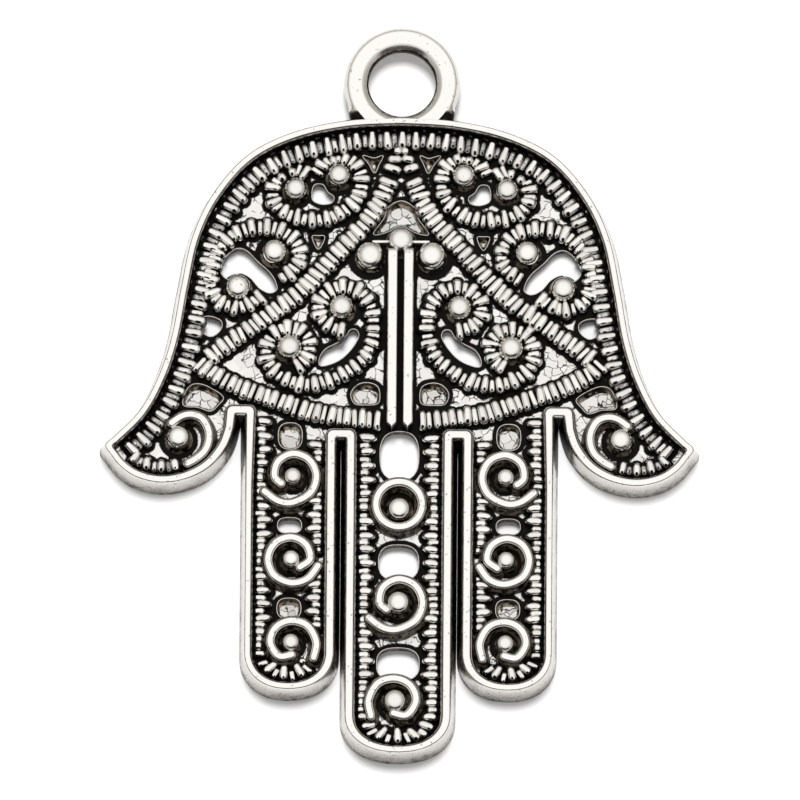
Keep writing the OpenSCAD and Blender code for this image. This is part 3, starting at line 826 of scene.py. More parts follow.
    def rib_row(self, places: Array, length: float, short_share: float, width_share: float = 1.0,
                short_h: float | None = None, roundness: float = 0.0) -> Array:
        """Ribs at places, with long, high and wide ones in turn with short, low and narrow ones.

        Args:
            places: Rows of x, y, turn in degrees and curvature of the line that they stand on.
            length: Length of a long rib.
            short_share: Length of a short one, as a share of it.
            width_share: Their widths, as a share of the usual ones.
            short_h: Height of a short rib, or None for the usual one.
            roundness: How oval the long ones are, 1 being an ellipse.

        Returns:
            Rows of x, y, turn, length, height, width, flare and roundness.
        """
        long = np.arange(len(places)) % 2 == 0
        size = np.where(long, length, length * short_share)
        high = np.where(long, self.rib_h, short_h or self.short_rib_h)
        wide = np.where(long, self.rib_w, self.short_rib_w) * width_share
        return np.column_stack([places[:, :3], size, high, wide, -places[:, 3], np.where(long, roundness, 0)])

    def band(self, points: list, length: float, short_share: float, width_share: float) -> Array:
        """Ribs across a chart path, moved a little towards the inside of its bends.

        Args:
            points: The path's chart points.
            length: Length of a long rib.
            short_share: Length of a short one, as a share of it.
            width_share: Their widths, as a share of the usual ones.

        Returns:
            The ribs' rows.
        """
        path = smooth_line(self.charted(points), self.steps)
        places = stations(path, self.rib_pitch)
        lean = self.lean_in * np.clip(places[:, 3] / self.full_bend, -1, 1)
        places[:, :2] += turned(places[:, 2] + 90, lean)
        return self.rib_row(places, length, short_share, width_share)

    def border(self, path: Array, length: float, skip: tuple[int, int]) -> Array:
        """Ribs along the inside of the rim, narrower towards it.

        Args:
            path: The field's edge.
            length: Length of a long rib.
            skip: How many ribs are left out at the start and at the end.

        Returns:
            The ribs' rows.
        """
        inset = path - outward(path) * (self.rib_gap + length / 2)
        rows = self.rib_row(stations(inset, self.rib_pitch), length, self.side_share, short_h=self.low_rib_h)
        rows[:, 6] -= self.teardrop
        return rows[skip[0]: len(rows) - skip[1]]

    def held_back(self, rows: Array, edge: Array) -> Array:
        """Ribs shortened at their outer ends where they would run into the border's ribs.

        Args:
            rows: The ribs' rows.
            edge: The field's edge that the border's ribs stand along.

        Returns:
            The shortened ribs, without those that get too short.
        """
        lean = np.radians(rows[:, 2])
        way = np.stack([-np.sin(lean), np.cos(lean)], axis=1)
        segments = np.column_stack([edge[:-1], edge[1:], np.full(len(edge) - 1, self.border_rib_len)])
        room = distance_to_segments(rows[:, :2] + way * rows[:, 3:4] / 2, segments) - self.rib_gap
        cut = np.clip(-room, 0, None)
        rows[:, 3] -= cut
        rows[:, :2] -= way * cut[:, None] / 2
        return rows[rows[:, 3] > self.least_rib * self.coil_rib_len]

    def finger_ribs(self, edge: float, top: float, bottom: float, into: int, scrolls: Array) -> Array:
        """Ribs down one side of a finger, each cut short where a scroll comes near.

        Args:
            edge: The field's edge.
            top: Height of the first rib.
            bottom: Height of the last one.
            into: 1 where the field lies towards +X of its edge, and -1 otherwise.
            scrolls: Rows of a scroll's middle and outer radius.

        Returns:
            The ribs' rows.
        """
        count = math.floor((top - bottom) / self.finger_pitch)
        start = edge + into * self.rib_gap / 2
        y = np.linspace(top, bottom, count + 1)
        places = np.tile([start, 0.0, 90.0, 0.0], (count + 1, 1))
        places[:, 1] = y
        rows = self.rib_row(places, self.finger_rib_len, self.side_share, self.finger_rib_share,
                            roundness=self.roundness)
        dy = y[:, None] - scrolls[:, 1]
        reach = scrolls[:, 2] - self.rib_gap
        beside = np.abs(dy) < reach
        room = into * (scrolls[:, 0] - start) - np.sqrt(np.where(beside, reach ** 2 - dy ** 2, 0))
        rows[:, 3] = np.minimum(rows[:, 3], np.where(beside, room, self.finger_rib_len).min(1))
        rows[:, 0] += into * rows[:, 3] / 2
        return rows[rows[:, 3] > self.least_rib * self.finger_rib_len]

    def end_ribs(self, x: float, y: float, half: float) -> Array:
        """Ribs that fan out round the end of a finger.

        Args:
            x: Middle of the finger.
            y: Height where its end begins.
            half: Half width of its field.

        Returns:
            The ribs' rows, from the left round to the right.
        """
        depth = self.end_h
        low, high = self.end_fan
        count = round(math.radians(high - low) * (half + depth) / 2 / self.end_pitch)
        angle = np.radians(np.linspace(low, high, count + 1))
        turn = np.degrees(np.arctan2(np.sin(angle) * depth, np.cos(angle) * half)) - 90
        bend = np.full(count + 1, -1 / (half + depth))
        places = np.column_stack([np.full(count + 1, x), np.full(count + 1, y), turn, bend])
        rows = self.rib_row(places, self.finger_rib_len, self.side_share, roundness=self.roundness / 2)
        lean = np.radians(turn)
        rows[:, 0] += (half - self.rib_gap) * np.cos(angle) + np.sin(lean) * rows[:, 3] / 2
        rows[:, 1] += (depth - self.rib_gap) * np.sin(angle) - np.cos(lean) * rows[:, 3] / 2
        return rows

    def scroll_rooms(self, rows: list, length: float, x: float, size: float) -> Array:
        """Rows of a finger's scrolls: middle and outer radius."""
        radius = self.scroll_r * size * self.widest_scroll + self.wire_w / 2
        return np.array([[x + s[3] * self.scroll_r, -s[0] * length, radius] for s in rows])

    def ribs(self) -> Array:
        """Every rib of the pendant.

        Each side finger's end goes without its first rib, where the last scroll ends.

        Returns:
            Rows of x, y, turn in degrees, length, height, width, flare and roundness.
        """
        dome = smooth_line(self.charted(DOME), self.steps)
        under = smooth_line(self.thumb_charted(THUMB), self.steps)[:, :2]
        under = under[: round(len(under) * (1 - self.thumb_bare))]
        low = self.end_h + self.rim_all - self.side_len
        rooms = self.scroll_rooms(SIDE_SCROLLS, self.side_len, self.side_mid, 1)
        apex = self.charted(APEX_RIBS)
        apex[:, 3] *= self.band_rib_len
        half = np.vstack([
            self.border(dome, self.border_rib_len, (1, 1)),
            self.border(under, self.thumb_rib_len, (2, 0)),
            *(self.band(line, self.band_rib_len, self.band_share, 1) for line in (CHEVRON, ARC)),
            *(self.held_back(self.band(coil, self.coil_rib_len, self.coil_share, self.coil_rib_share), dome)
              for coil in (CROWN_COIL, SIDE_COIL, HEART_COIL)),
            np.column_stack([apex, np.tile([self.short_rib_h, self.rib_w, 0, 0], (len(apex), 1))]),
            self.finger_ribs(self.side_out, -self.finger_start, low, -1, rooms),
            self.finger_ribs(self.side_in, -self.slot_drop - self.finger_start, low, 1, rooms),
            self.end_ribs(self.side_mid, low, self.side_out - self.side_mid)[1:],
        ])
        crown_y = self.palm_h - self.rim_all - self.rib_gap - self.border_rib_len / 2
        low = self.end_h + self.rim_all - self.middle_len
        top = -self.slot_drop - self.finger_start / 2
        rooms = self.scroll_rooms(MIDDLE_SCROLLS, self.middle_len, 0, self.middle_scroll)
        return np.vstack([
            half,
            half * [-1, 1, -1, 1, 1, 1, 1, 1],
            [[0, crown_y, 0, self.border_rib_len, self.rib_h, self.rib_w, -self.teardrop, 0]],
            self.finger_ribs(-self.middle_in, top, low, 1, rooms),
            self.finger_ribs(self.middle_in, top, low, -1, rooms),
            self.end_ribs(0, low, self.middle_in),
        ])

    def finger_scrolls(self) -> list[tuple[Form, bool, Array, float, float]]:
        """Every finger scroll.

        Returns:
            Each one's form, whether it is mirrored, its middle, its radius and its ball's radius.
        """
        found = []
        for share, form, flipped, shift in SIDE_SCROLLS:
            x = self.side_mid + shift * self.scroll_r
            for side in (-1, 1):
                middle = np.array([side * x, -share * self.side_len])
                found.append((form, flipped == (side > 0), middle, self.scroll_r, self.finger_ball_r))
        for share, form, flipped, shift in MIDDLE_SCROLLS:
            middle = np.array([shift * self.scroll_r, -share * self.middle_len])
            radius = self.scroll_r * self.middle_scroll
            found.append((form, flipped, middle, radius, self.finger_ball_r * self.middle_ball))
        return found

    def balls(self) -> Array:
        """Every ball.

        Returns:
            Rows of x, y and radius.
        """
        half = np.vstack([self.charted(BALLS), self.thumb_charted([THUMB_BALL])])
        rows = np.vstack([half, half * [-1, 1, 1], self.charted([TOP_BALL])])
        rows[:, 2] *= self.ball_r
        fingers = [
            [middle[0], middle[1] - (self.ring_ball_drop if form is Form.RING else 0), ball]
            for form, _, middle, _, ball in self.finger_scrolls()
        ]
        return np.vstack([rows, fingers])

    def wire_paths(self) -> list[Array]:
        """The paths of the open wires: the thumbs' hooks and the finger scrolls.

        Returns:
            Points in the plane for each wire.
        """
        hook = smooth_line(self.thumb_charted(HOOK), self.steps)
        paths = [hook, hook * [-1, 1]]
        for form, flipped, middle, radius, _ in self.finger_scrolls():
            if form is Form.RING:
                continue
            knots = np.array(SCROLL_PATHS[form])
            path = smooth_line(turned(knots[:, 0], knots[:, 1] * radius), self.steps)
            paths.append(middle + path * [-1 if flipped else 1, 1])
        return paths

    def footprints(self) -> Array:
        """What stands on the ground, as thick segments.

        Returns:
            Rows of a segment's two ends and its half thickness.
        """
        rows = self.ribs()
        lean = np.radians(rows[:, 2:3])
        reach = np.hstack([-np.sin(lean), np.cos(lean)]) * (rows[:, 3:4] - rows[:, 5:6]) / 2
        thick = rows[:, 5:6] / 2
        found = [np.hstack([rows[:, :2] - reach, rows[:, :2] + reach, thick])]
        balls = self.balls()
        found.append(np.hstack([balls[:, :2], balls[:, :2], balls[:, 2:] * self.stem_foot]))
        rings = [
            middle + turned(np.arange(0, 361, self.arc_step), radius)
            for form, _, middle, radius, _ in self.finger_scrolls() if form is Form.RING
        ]
        for path in self.wire_paths() + rings:
            found.append(np.hstack([path[:-1], path[1:], np.full((len(path) - 1, 1), self.wire_w / 2)]))
        low, high = (y * self.cell[1] for y in BARS)
        x = (self.groove_w + self.bar_w) / 2
        found.append(np.array([[side * x, low, side * x, high, self.bar_w / 2] for side in (-1, 1)]))
        return np.vstack(found)


CAST = Casting()


class Graph:
    """A node tree, with short calls that add nodes and link them."""

    def __init__(self, tree: bpy.types.NodeTree) -> None:
        """Keeps the tree that nodes are added to."""
        self.tree = tree

    def node(self, kind: str, inputs: dict | None = None, **settings: object) -> bpy.types.Node:
        """Adds a node.

        Args:
            kind: The node's type.
            inputs: Values or sockets for its inputs, by name or number.
            **settings: Properties of the node.

        Returns:
            The node.
        """
        node = self.tree.nodes.new(kind)
        for name, value in settings.items():
            setattr(node, name, value)
        for key, value in (inputs or {}).items():
            if isinstance(value, bpy.types.NodeSocket):
                self.tree.links.new(value, node.inputs[key])
            else:
                node.inputs[key].default_value = value
        return node

    def math(self, operation: str, *values: object) -> bpy.types.NodeSocket:
        """A Math node on up to three values or sockets."""
        return self.node("ShaderNodeMath", dict(enumerate(values)), operation=operation).outputs[0]

    def times(self, first: object, second: object) -> bpy.types.NodeSocket:
        """The product of two values or sockets."""
        return self.math("MULTIPLY", first, second)

    def plus(self, first: object, second: object) -> bpy.types.NodeSocket:
        """The sum of two values or sockets."""
        return self.math("ADD", first, second)

    def minus(self, first: object, second: object) -> bpy.types.NodeSocket:
        """The first of two values or sockets less the second."""
        return self.math("SUBTRACT", first, second)

    def between(self, value: object, low: object, high: object) -> bpy.types.NodeSocket:
        """A smooth step from 0 at low to 1 at high."""
        inputs = {"Value": value, "From Min": low, "From Max": high}
        return self.node("ShaderNodeMapRange", inputs, interpolation_type="SMOOTHSTEP").outputs["Result"]

    def mixed(self, share: object, first: object, second: object) -> bpy.types.NodeSocket:
        """A colour between two.

        Args:
            share: 0 for the first colour and 1 for the second.
            first: A colour or a socket.
            second: Another one.

        Returns:
            The socket of the mixed colour.
        """
        node = self.node("ShaderNodeMix", {"Factor": share}, data_type="RGBA")
        for socket, value in ((node.inputs[6], first), (node.inputs[7], second)):
            if isinstance(value, bpy.types.NodeSocket):
                self.tree.links.new(value, socket)
            else:
                socket.default_value = value
        return node.outputs[2]

    def blended(self, share: object, first: float, second: float) -> bpy.types.NodeSocket:
        """A number between two, by a share."""
        inputs = {"Value": share, "To Min": first, "To Max": second}
        return self.node("ShaderNodeMapRange", inputs).outputs["Result"]

    def shifted(self, place: object, size: float, reach: float) -> bpy.types.NodeSocket:
        """A place moved this way and that by noise, by up to about reach millimetres."""
        noise = self.node("ShaderNodeTexNoise", {"Vector": place, "Scale": 1 / (size * MM), "Detail": 1.0})
        inputs = {0: noise.outputs["Color"], 1: (2 * reach * MM,) * 3, 2: place}
        return self.node("ShaderNodeVectorMath", inputs, operation="MULTIPLY_ADD").outputs[0]

    def noise(self, place: object, size: float, detail: float, rough: float = 0.6) -> bpy.types.NodeSocket:
        """Noise whose blobs are about size millimetres across."""
        inputs = {"Vector": place, "Scale": 1 / (size * MM), "Detail": detail, "Roughness": rough}
        return self.node("ShaderNodeTexNoise", inputs).outputs["Fac"]


@dataclass(frozen=True)
class Patina:
    """The patina that every finish shares, with sizes in millimetres.

    The mask of bright metal is a smooth step of the wear and painted shade, moved up and down by
    fine and broad noise. Tiny casting pits, crackle lines and the ribs' dark eyes, a painted
    reflection of dark surroundings, are taken off it.
    """

    # Noise: sizes of fine and broad blobs, and the broad ones' share beside the fine ones
    fine: float = 0.16
    broad: float = 1.4
    broad_share: float = 0.7
    # How the cells are bent: size and reach of the bends
    bend: tuple[float, float] = (0.6, 0.3)
    # Cells of the crackle and of the pits, with where a line or a pit fades out, and their depths
    cell: float = 0.8
    crack: tuple[float, float] = (0.05, 0.02)
    crack_depth: float = 0.97
    speck: float = 0.42
    pit: tuple[float, float] = (0.26, 0.12)
    pit_depth: float = 0.65
    # Crackle from which lines show, and broad noise between which they come and go
    crackled: tuple[float, float] = (0.1, 0.5)
    patches: tuple[float, float] = (0.42, 0.5)
    # Distance from the middle of a rib's dark eye, a painted reflection, in shares of its size, between which
    # it fades
    eye: tuple[float, float] = (1.6, 1.3)
    # Brown mottles: size, and the noise, wear and tone between which they show
    mottle: float = 0.5
    mottle_noise: tuple[float, float] = (0.42, 0.6)
    mottle_wear: tuple[float, float] = (0.08, 0.25)
    mottle_tone: tuple[float, float] = (0.75, 0.55)
    mottled: tuple[float, ...] = (0.26, 0.215, 0.16, 1)
    # Colour of silver at tone 0, the grey that low tones on walls use as painted shade, and what crackled
    # cells and noise take from the tone
    shaded: tuple[float, ...] = (0.42, 0.4, 0.37, 1)
    cell_shade: float = 0.5
    noise_shade: float = 0.8
    # Roughness added by tarnish, broad noise and crackle; metal of tarnish; heights of noise and flaws
    tarnish_rough: float = 0.42
    broad_rough: float = 0.08
    crackle_rough: float = 0.2
    tarnish_metal: float = 0.5
    fine_height: float = 0.25
    broad_height: float = 0.9
    flaw_height: float = 1.2

    def group(self) -> bpy.types.NodeTree:
        """The patina as a node group.

        Returns:
            A group that takes the finish's own values and reads wear with painted shade, tone,
            crackle and the ribs' painted reflections from the mesh, and gives the colour, how
            metallic it is, the roughness and the surface's height.
        """
        tree = self.sockets()
        g = Graph(tree)
        given = g.node("NodeGroupInput").outputs
        place = g.node("ShaderNodeTexCoord").outputs["Object"]
        wear_and_shade, tone, crackle, across, lengthwise = (
            g.node("ShaderNodeAttribute", attribute_name=name).outputs["Fac"] for name in VALUES
        )
        fine = g.noise(place, self.fine, 3)
        broad = g.noise(place, self.broad, 2)
        uneven = g.math("MULTIPLY_ADD", g.minus(broad, 0.5), self.broad_share, g.minus(fine, 0.5))
        worn = g.plus(wear_and_shade, g.times(uneven, given["Raggedness"]))
        low = g.minus(given["Threshold"], given["Softness"])
        bright = g.between(worn, low, g.plus(given["Threshold"], given["Softness"]))
        flaw, shade = self.flaws(g, place, broad, crackle, given["Pits"])
        # Painted reflection: each rib's dark eye is taken off the bright metal like a flaw
        away = g.math("SQRT", g.math("MULTIPLY_ADD", across, across, g.times(lengthwise, lengthwise)))
        flaw = g.math("MAXIMUM", flaw, g.between(g.plus(fine, away), *self.eye))
        bright = g.times(bright, g.minus(1.0, flaw))
        plates = g.minus(tone, g.times(g.times(shade, crackle), self.cell_shade))
        plates = g.math("MULTIPLY_ADD", g.times(uneven, g.minus(1.0, tone)), self.noise_shade, plates)
        silver = g.mixed(plates, self.shaded, given["Silver"])
        mottle = g.times(g.between(g.noise(place, self.mottle, 3), *self.mottle_noise),
                         g.between(worn, *self.mottle_wear))
        mottle = g.times(mottle, g.between(tone, *self.mottle_tone))
        color = g.mixed(bright, g.mixed(mottle, given["Tarnish"], self.mottled), silver)
        rough = g.plus(g.times(bright, given["Polish"]), g.times(g.minus(1.0, bright), self.tarnish_rough))
        rough = g.plus(rough, g.times(broad, self.broad_rough))
        rough = g.math("MULTIPLY_ADD", crackle, self.crackle_rough, rough)
        height = g.plus(g.times(fine, self.fine_height), g.times(broad, self.broad_height))
        height = g.minus(height, g.times(flaw, self.flaw_height))
        metal = g.blended(bright, self.tarnish_metal, 1.0)
        g.node("NodeGroupOutput", {"Color": color, "Metal": metal, "Roughness": rough, "Height": height})
        return tree

    @staticmethod
    def sockets() -> bpy.types.NodeTree:
        """An empty group with the patina's sockets.

        Returns:
            The group.
        """
        tree = bpy.data.node_groups.new("antique_patina", "ShaderNodeTree")
        for name in ("Silver", "Tarnish"):
            tree.interface.new_socket(name, in_out="INPUT", socket_type="NodeSocketColor")
        for name in ("Threshold", "Softness", "Raggedness", "Pits", "Polish"):
            tree.interface.new_socket(name, in_out="INPUT", socket_type="NodeSocketFloat")
        tree.interface.new_socket("Color", in_out="OUTPUT", socket_type="NodeSocketColor")
        for name in ("Metal", "Roughness", "Height"):
            tree.interface.new_socket(name, in_out="OUTPUT", socket_type="NodeSocketFloat")
        return tree

    def flaws(self, g: Graph, place: object, broad: object, crackle: object,
              pits: object) -> tuple[bpy.types.NodeSocket, bpy.types.NodeSocket]:
        """Pits in a share of the cells, and lines along the cells' edges on crackled floors.

        Args:
            g: The group's graph.
            place: The place in the object.
            broad: The broad noise.
            crackle: How crackled the surface is.
            pits: Share of the cells that have pits.

        Returns:
            The depth of the flaws, and a shade of its own for each cell.
        """
        bent = g.shifted(place, *self.bend)
        cells, specks = (
            g.node("ShaderNodeTexVoronoi", {"Vector": bent, "Scale": 1 / (size * MM)}).outputs
            for size in (self.cell, self.speck)
        )
        chance, shade, _ = g.node("ShaderNodeSeparateColor", {0: cells["Color"]}).outputs
        pit = g.times(g.between(specks["Distance"], *self.pit), g.math("LESS_THAN", chance, pits))
        lines = g.node("ShaderNodeTexVoronoi", {"Vector": bent, "Scale": 1 / (self.cell * MM)},
                       feature="DISTANCE_TO_EDGE")
        crack = g.times(g.between(lines.outputs["Distance"], *self.crack), g.between(crackle, *self.crackled))
        crack = g.times(crack, g.between(broad, *self.patches))
        return g.math("MAXIMUM", g.times(pit, self.pit_depth), g.times(crack, self.crack_depth)), shade


@dataclass(frozen=True)
class SilverFinish:
    """Antique silver plate: bright where it is worn, with dark tarnish in the recesses."""

    name: str
    silver: tuple[float, float, float] = (0.95, 0.93, 0.89)
    tarnish: tuple[float, float, float] = (0.006, 0.0055, 0.0045)
    threshold: float = 0.5
    softness: float = 0.12
    raggedness: float = 0.25
    pits: float = 0.4
    polish: float = 0.13
    relief: float = 0.25
    relief_depth: float = 0.02
    tarnish_gloss: float = 0.05

    def material(self, group: bpy.types.NodeTree) -> bpy.types.Material:
        """The finish as a material.

        Args:
            group: The shared patina.

        Returns:
            A material whose colour, metal, roughness and bump follow the patina.
        """
        material = bpy.data.materials.new(self.name)
        material.use_nodes = True
        material.node_tree.nodes.clear()
        g = Graph(material.node_tree)
        patina = g.node("ShaderNodeGroup", node_tree=group)
        for key, value in (
            ("Silver", (*self.silver, 1)), ("Tarnish", (*self.tarnish, 1)), ("Threshold", self.threshold),
            ("Softness", self.softness), ("Raggedness", self.raggedness), ("Pits", self.pits),
            ("Polish", self.polish),
        ):
            patina.inputs[key].default_value = value
        out = patina.outputs
        bump = g.node("ShaderNodeBump", {
            "Height": out["Height"], "Strength": self.relief, "Distance": self.relief_depth * MM,
        })
        shader = g.node("ShaderNodeBsdfPrincipled", {
            "Base Color": out["Color"], "Metallic": out["Metal"], "Roughness": out["Roughness"],
            "Specular IOR Level": self.tarnish_gloss, "Normal": bump.outputs["Normal"],
        })
        g.node("ShaderNodeOutputMaterial", {"Surface": shader.outputs["BSDF"]})
        return material


@dataclass
class Piece:
    """One visible piece of the casting, with its name and its finish."""

    name: str
    finish: SilverFinish

    def surface(self) -> Surface:
        """The piece's surface, in millimetres in the palm's frame."""
        raise NotImplementedError

    def build(self) -> bpy.types.Object:
        """Makes the piece's mesh, with its finish's values at each vertex.

        Returns:
            The object, at the origin, with its place in its mesh.
        """
        shape = self.surface()
        points = (shape.points + [0, CAST.y_shift, 0]) * MM
        corners = np.concatenate([shape.quads.ravel(), shape.triangles.ravel()])
        sizes = np.repeat([4, 3], [len(shape.quads), len(shape.triangles)])
        mesh = bpy.data.meshes.new(self.name)
        mesh.vertices.add(len(points))
        mesh.vertices.foreach_set("co", points.ravel().astype(np.float32))
        mesh.loops.add(len(corners))
        mesh.loops.foreach_set("vertex_index", corners.astype(np.int32))
        mesh.polygons.add(len(sizes))
        mesh.polygons.foreach_set("loop_start", (np.cumsum(sizes) - sizes).astype(np.int32))
        mesh.update(calc_edges=True)
        mesh.shade_smooth()
        for value in VALUES:
            layer = mesh.attributes.new(value, "FLOAT", "POINT")
            layer.data.foreach_set("value", shape.values(value).astype(np.float32))
        piece = bpy.data.objects.new(self.name, mesh)
        bpy.context.scene.collection.objects.link(piece)
        return piece

    def dress(self, piece: bpy.types.Object, group: bpy.types.NodeTree) -> None:
        """Gives the piece its finish and its place in the frame.

        Args:
            piece: The built object.
            group: The shared patina.
        """
        piece.data.materials.append(self.finish.material(group))
        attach(piece, BODY)
        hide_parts(NODE)


def crevice_tarnish_and_shade(points: Array, corner: float = 3.75, reach: tuple[float, float] = (1.1, 0.45),
            dark: float = 0.75, fade: float = 0.5) -> Array:
    """How clear points are of the dark corners where the bail leaves the crown: tarnish together with painted
    shade.

    The clearness is a ramp of the distance from a corner's middle, with each axis in
    shares of the corner's reach.

    Args:
        points: x and y of each point.
        corner: Distance of a corner's middle from the pendant's middle line.
        reach: Half width and half height of a corner.
        dark: Share of the reach up to which a corner is wholly dark.
        fade: Share of the reach over which it then clears.

    Returns:
        0 inside a corner and 1 away from it.
    """
    rise = CAST.bail_y - math.sqrt(CAST.bail_r ** 2 - corner ** 2)
    away = np.hypot((np.abs(points[:, 0]) - corner) / reach[0], (points[:, 1] - rise) / reach[1])
    return np.clip((away - dark) / fade, 0, 1)


@dataclass
class Plate(Piece):
    """The ground with its gaps and pockets, the rim round it and the flat back."""

    longest_step: float = 0.3
    grid: float = 0.18
    back_grid: float = 1.2
    # The ripple's height and its rates, in radians a millimetre
    ripple: float = 0.02
    rates: tuple[float, ...] = (2.9, 1.7, 3.3)
    swerve: float = 1.3
    # The ground: dark within its footing round what stands on it, tarnish together with painted shade, then
    # clearing, and how crackled it is
    footing: float = 0.14
    fade: float = 0.3
    ground_crackle: float = 0.5
    # Wear and tone of the back
    back_finish: tuple[float, float] = (0.6, 0.8)
    # A pocket's floor: how far the painted shadow of its wall on the crown's side reaches, where that painted
    # shadow fades, its least wear, and the tones
    shadow_reach: float = 0.28
    floor_fade: tuple[float, float] = (0.25, 0.4)
    floor_least: float = 0.2
    floor_tone: tuple[float, float] = (0.5, 0.4)
    # A slot's dark: its margin beside the slot, the depths over which it deepens in a finger's and in
    # a thumb's slot, and how many slot widths it reaches under the thumb
    slot_margin: float = 0.125
    finger_dark: tuple[float, float] = (1.0, 3.0)
    thumb_dark: tuple[float, float] = (5.5, 2.0)
    thumb_reach: float = 2.4
    # Share by which a slot's walls lean further out, and where across the rim its dark begins
    slot_lean: float = 0.1
    dark_from: float = 1.05
    # Height under the rim's top from which the corners at the bail are dark with tarnish and painted shade
    corner_from: float = 0.02
    # Across the rim, 1 at the flat's outer edge and 2 at the back; height under the top; wear; tone.
    # Low tones on the walls grey the silver as painted shade. The low wear just past the flat's outer
    # edge paints a dashed dark line, partly tarnish and partly a painted reflection of dark surroundings
    rim_profile: tuple = (
        (-0.12, 1.8, 0.0, 1.0), (-0.08, 0.7, 0.0, 1.0), (-0.05, 0.36, 0.2, 0.3), (-0.03, 0.22, 0.62, 0.25),
        (0.03, 0.14, 0.66, 0.35), (0.09, 0.1, 0.6, 0.4), (0.12, 0.08, 0.0, 0.8), (0.17, 0.05, 0.05, 1.0),
        (0.22, 0.02, 0.9, 1.0), (0.28, 0.0, 1.0, 1.0), (0.8, 0.0, 1.0, 1.0), (0.86, 0.012, 0.9, 1.0),
        (0.89, 0.03, 0.35, 0.7), (0.94, 0.06, 0.3, 0.6), (0.98, 0.09, 0.8, 0.6), (1.05, 0.2, 0.9, 0.4),
        (1.2, 0.6, 0.73, 0.22), (1.5, 1.5, 0.61, 0.15), (1.8, 2.4, 0.52, 0.1), (1.93, 2.78, 0.45, 0.2),
        (1.99, 2.9, 0.4, 0.3), (1.97, 2.97, 0.5, 0.3), (1.9, 3.0, 0.6, 0.6),
    )
    # Distance from a gap's edge into the ground; height over the ground; wear; tone
    gap_lip: tuple = (
        (0.1, 0.0, 0.1, 0.8), (0.05, 0.03, 0.3, 0.6), (0.02, 0.04, 0.7, 0.8), (-0.01, 0.03, 0.6, 0.7),
        (-0.02, -0.04, 0.1, 0.4), (0.0, -0.15, 0.2, 0.4), (0.0, -0.7, 0.24, 0.4), (0.0, -1.1, 0.24, 0.4),
        (0.03, -1.2, 0.3, 0.4),
    )
    pocket_lip: tuple = (
        (0.1, 0.0, 0.1, 0.8), (0.05, 0.03, 0.3, 0.6), (0.02, 0.04, 0.72, 0.8), (-0.01, 0.03, 0.62, 0.7),
        (-0.03, -0.04, 0.15, 0.5), (-0.06, -0.25, 0.24, 0.5), (-0.1, -0.48, 0.22, 0.5),
        (-0.15, -0.55, 0.22, 0.5),
    )

    def surface(self) -> Surface:
        """The ground, the rim, the walls of every opening and the back, joined at their shared rows.

        Returns:
            The closed plate.
        """
        loops = CAST.outlines(self.longest_step)
        shade = self.slot_shade(loops[Level.OUTER.value])
        rim = [self.rim_row(loops, shade, *row) for row in self.rim_profile]
        gaps = [self.lip(loop, self.gap_lip) for loop in CAST.gaps()]
        pockets = [self.lip(loop, self.pocket_lip) for loop in CAST.pockets()]
        walls = [rim, *gaps, *pockets]
        ground, numbers = self.ground([wall[0][:, :2] for wall in walls])
        parts = [ground]
        start = len(ground.points)
        closing = []
        ends = np.cumsum([len(wall[0]) for wall in walls])[:-1]
        for wall, first in zip(walls, np.split(numbers, ends)):
            lower = np.vstack(wall[1:])
            rows = np.vstack([first, np.arange(start, start + len(lower)).reshape(-1, len(first))])
            quads = strips(rows, outwards=wall is rim)
            parts.append(Surface(lower[:, :3], quads, wear_and_shade=lower[:, 3], tone=lower[:, 4]))
            closing.append(rows[-1])
            start += len(lower)
        backs = [wall[-1][:, :2] for wall in (rim, *gaps)]
        parts.append(self.filled(backs, closing[: len(backs)], start, False))
        for wall, border in zip(pockets, closing[len(backs):]):
            start += len(parts[-1].points)
            parts.append(self.filled([wall[-1][:, :2]], [border], start, True))
        return self.welded(parts)

    def ground(self, borders: list[Array]) -> tuple[Surface, Indices]:
        """The ground inside the rim, round the openings, with a ripple of a sin(bx + c sin(dy)) cos(ey + x).

        Args:
            borders: The rim's inner edge and the edges of the openings.

        Returns:
            The ground, and the number of its vertex at each point of the borders.
        """
        flat, faces, numbers = patch(borders, self.grid, borders[1:])
        edges = [np.column_stack([o, np.roll(o, -1, axis=0), np.zeros(len(o))]) for o in borders[1:]]
        clear = distance_to_segments(flat, np.vstack([CAST.footprints(), *edges]))
        x, y = flat[:, 0], flat[:, 1]
        across, swerving, along_y = self.rates
        wave = np.sin(x * across + self.swerve * np.sin(y * swerving)) * np.cos(y * along_y + x)
        wave[numbers] = 0
        # Tarnish together with painted shade: the ground is dark within its footing round what stands on it
        # and clears beyond
        ground = Surface(np.column_stack([flat, CAST.ground_t + self.ripple * wave]), triangles=faces,
                         wear_and_shade=np.clip((clear - self.footing) / self.fade, 0, 1),
                         crackle=np.where(clear > self.footing, self.ground_crackle, 0))
        return ground, numbers

    def filled(self, edges: list[Array], borders: list[Indices], start: int, upwards: bool) -> Surface:
        """The back or a pocket's floor, between rows of vertices that have their numbers already.

        Args:
            edges: The outline and the edges of its openings.
            borders: Numbers of the vertices along them.
            start: Number of the first new vertex.
            upwards: True for a pocket's floor and False for the back.

        Returns:
            The new points, with faces that number the plate's points.
        """
        flat, faces, numbers = patch(edges, self.grid if upwards else self.back_grid, edges[1:])
        shared = np.full(len(flat), -1)
        shared[numbers] = np.concatenate(borders)
        fresh = shared < 0
        shared[fresh] = start + np.arange(fresh.sum())
        height = CAST.ground_t - CAST.pocket_d if upwards else 0.0
        new = np.column_stack([flat[fresh], np.full(fresh.sum(), height)])
        worn, tone = self.back_finish
        part = self.pocket_floor(new, edges[0]) if upwards else Surface(new, wear_and_shade=worn, tone=tone)
        part.triangles = shared[faces] if upwards else shared[faces[:, ::-1]]
        return part

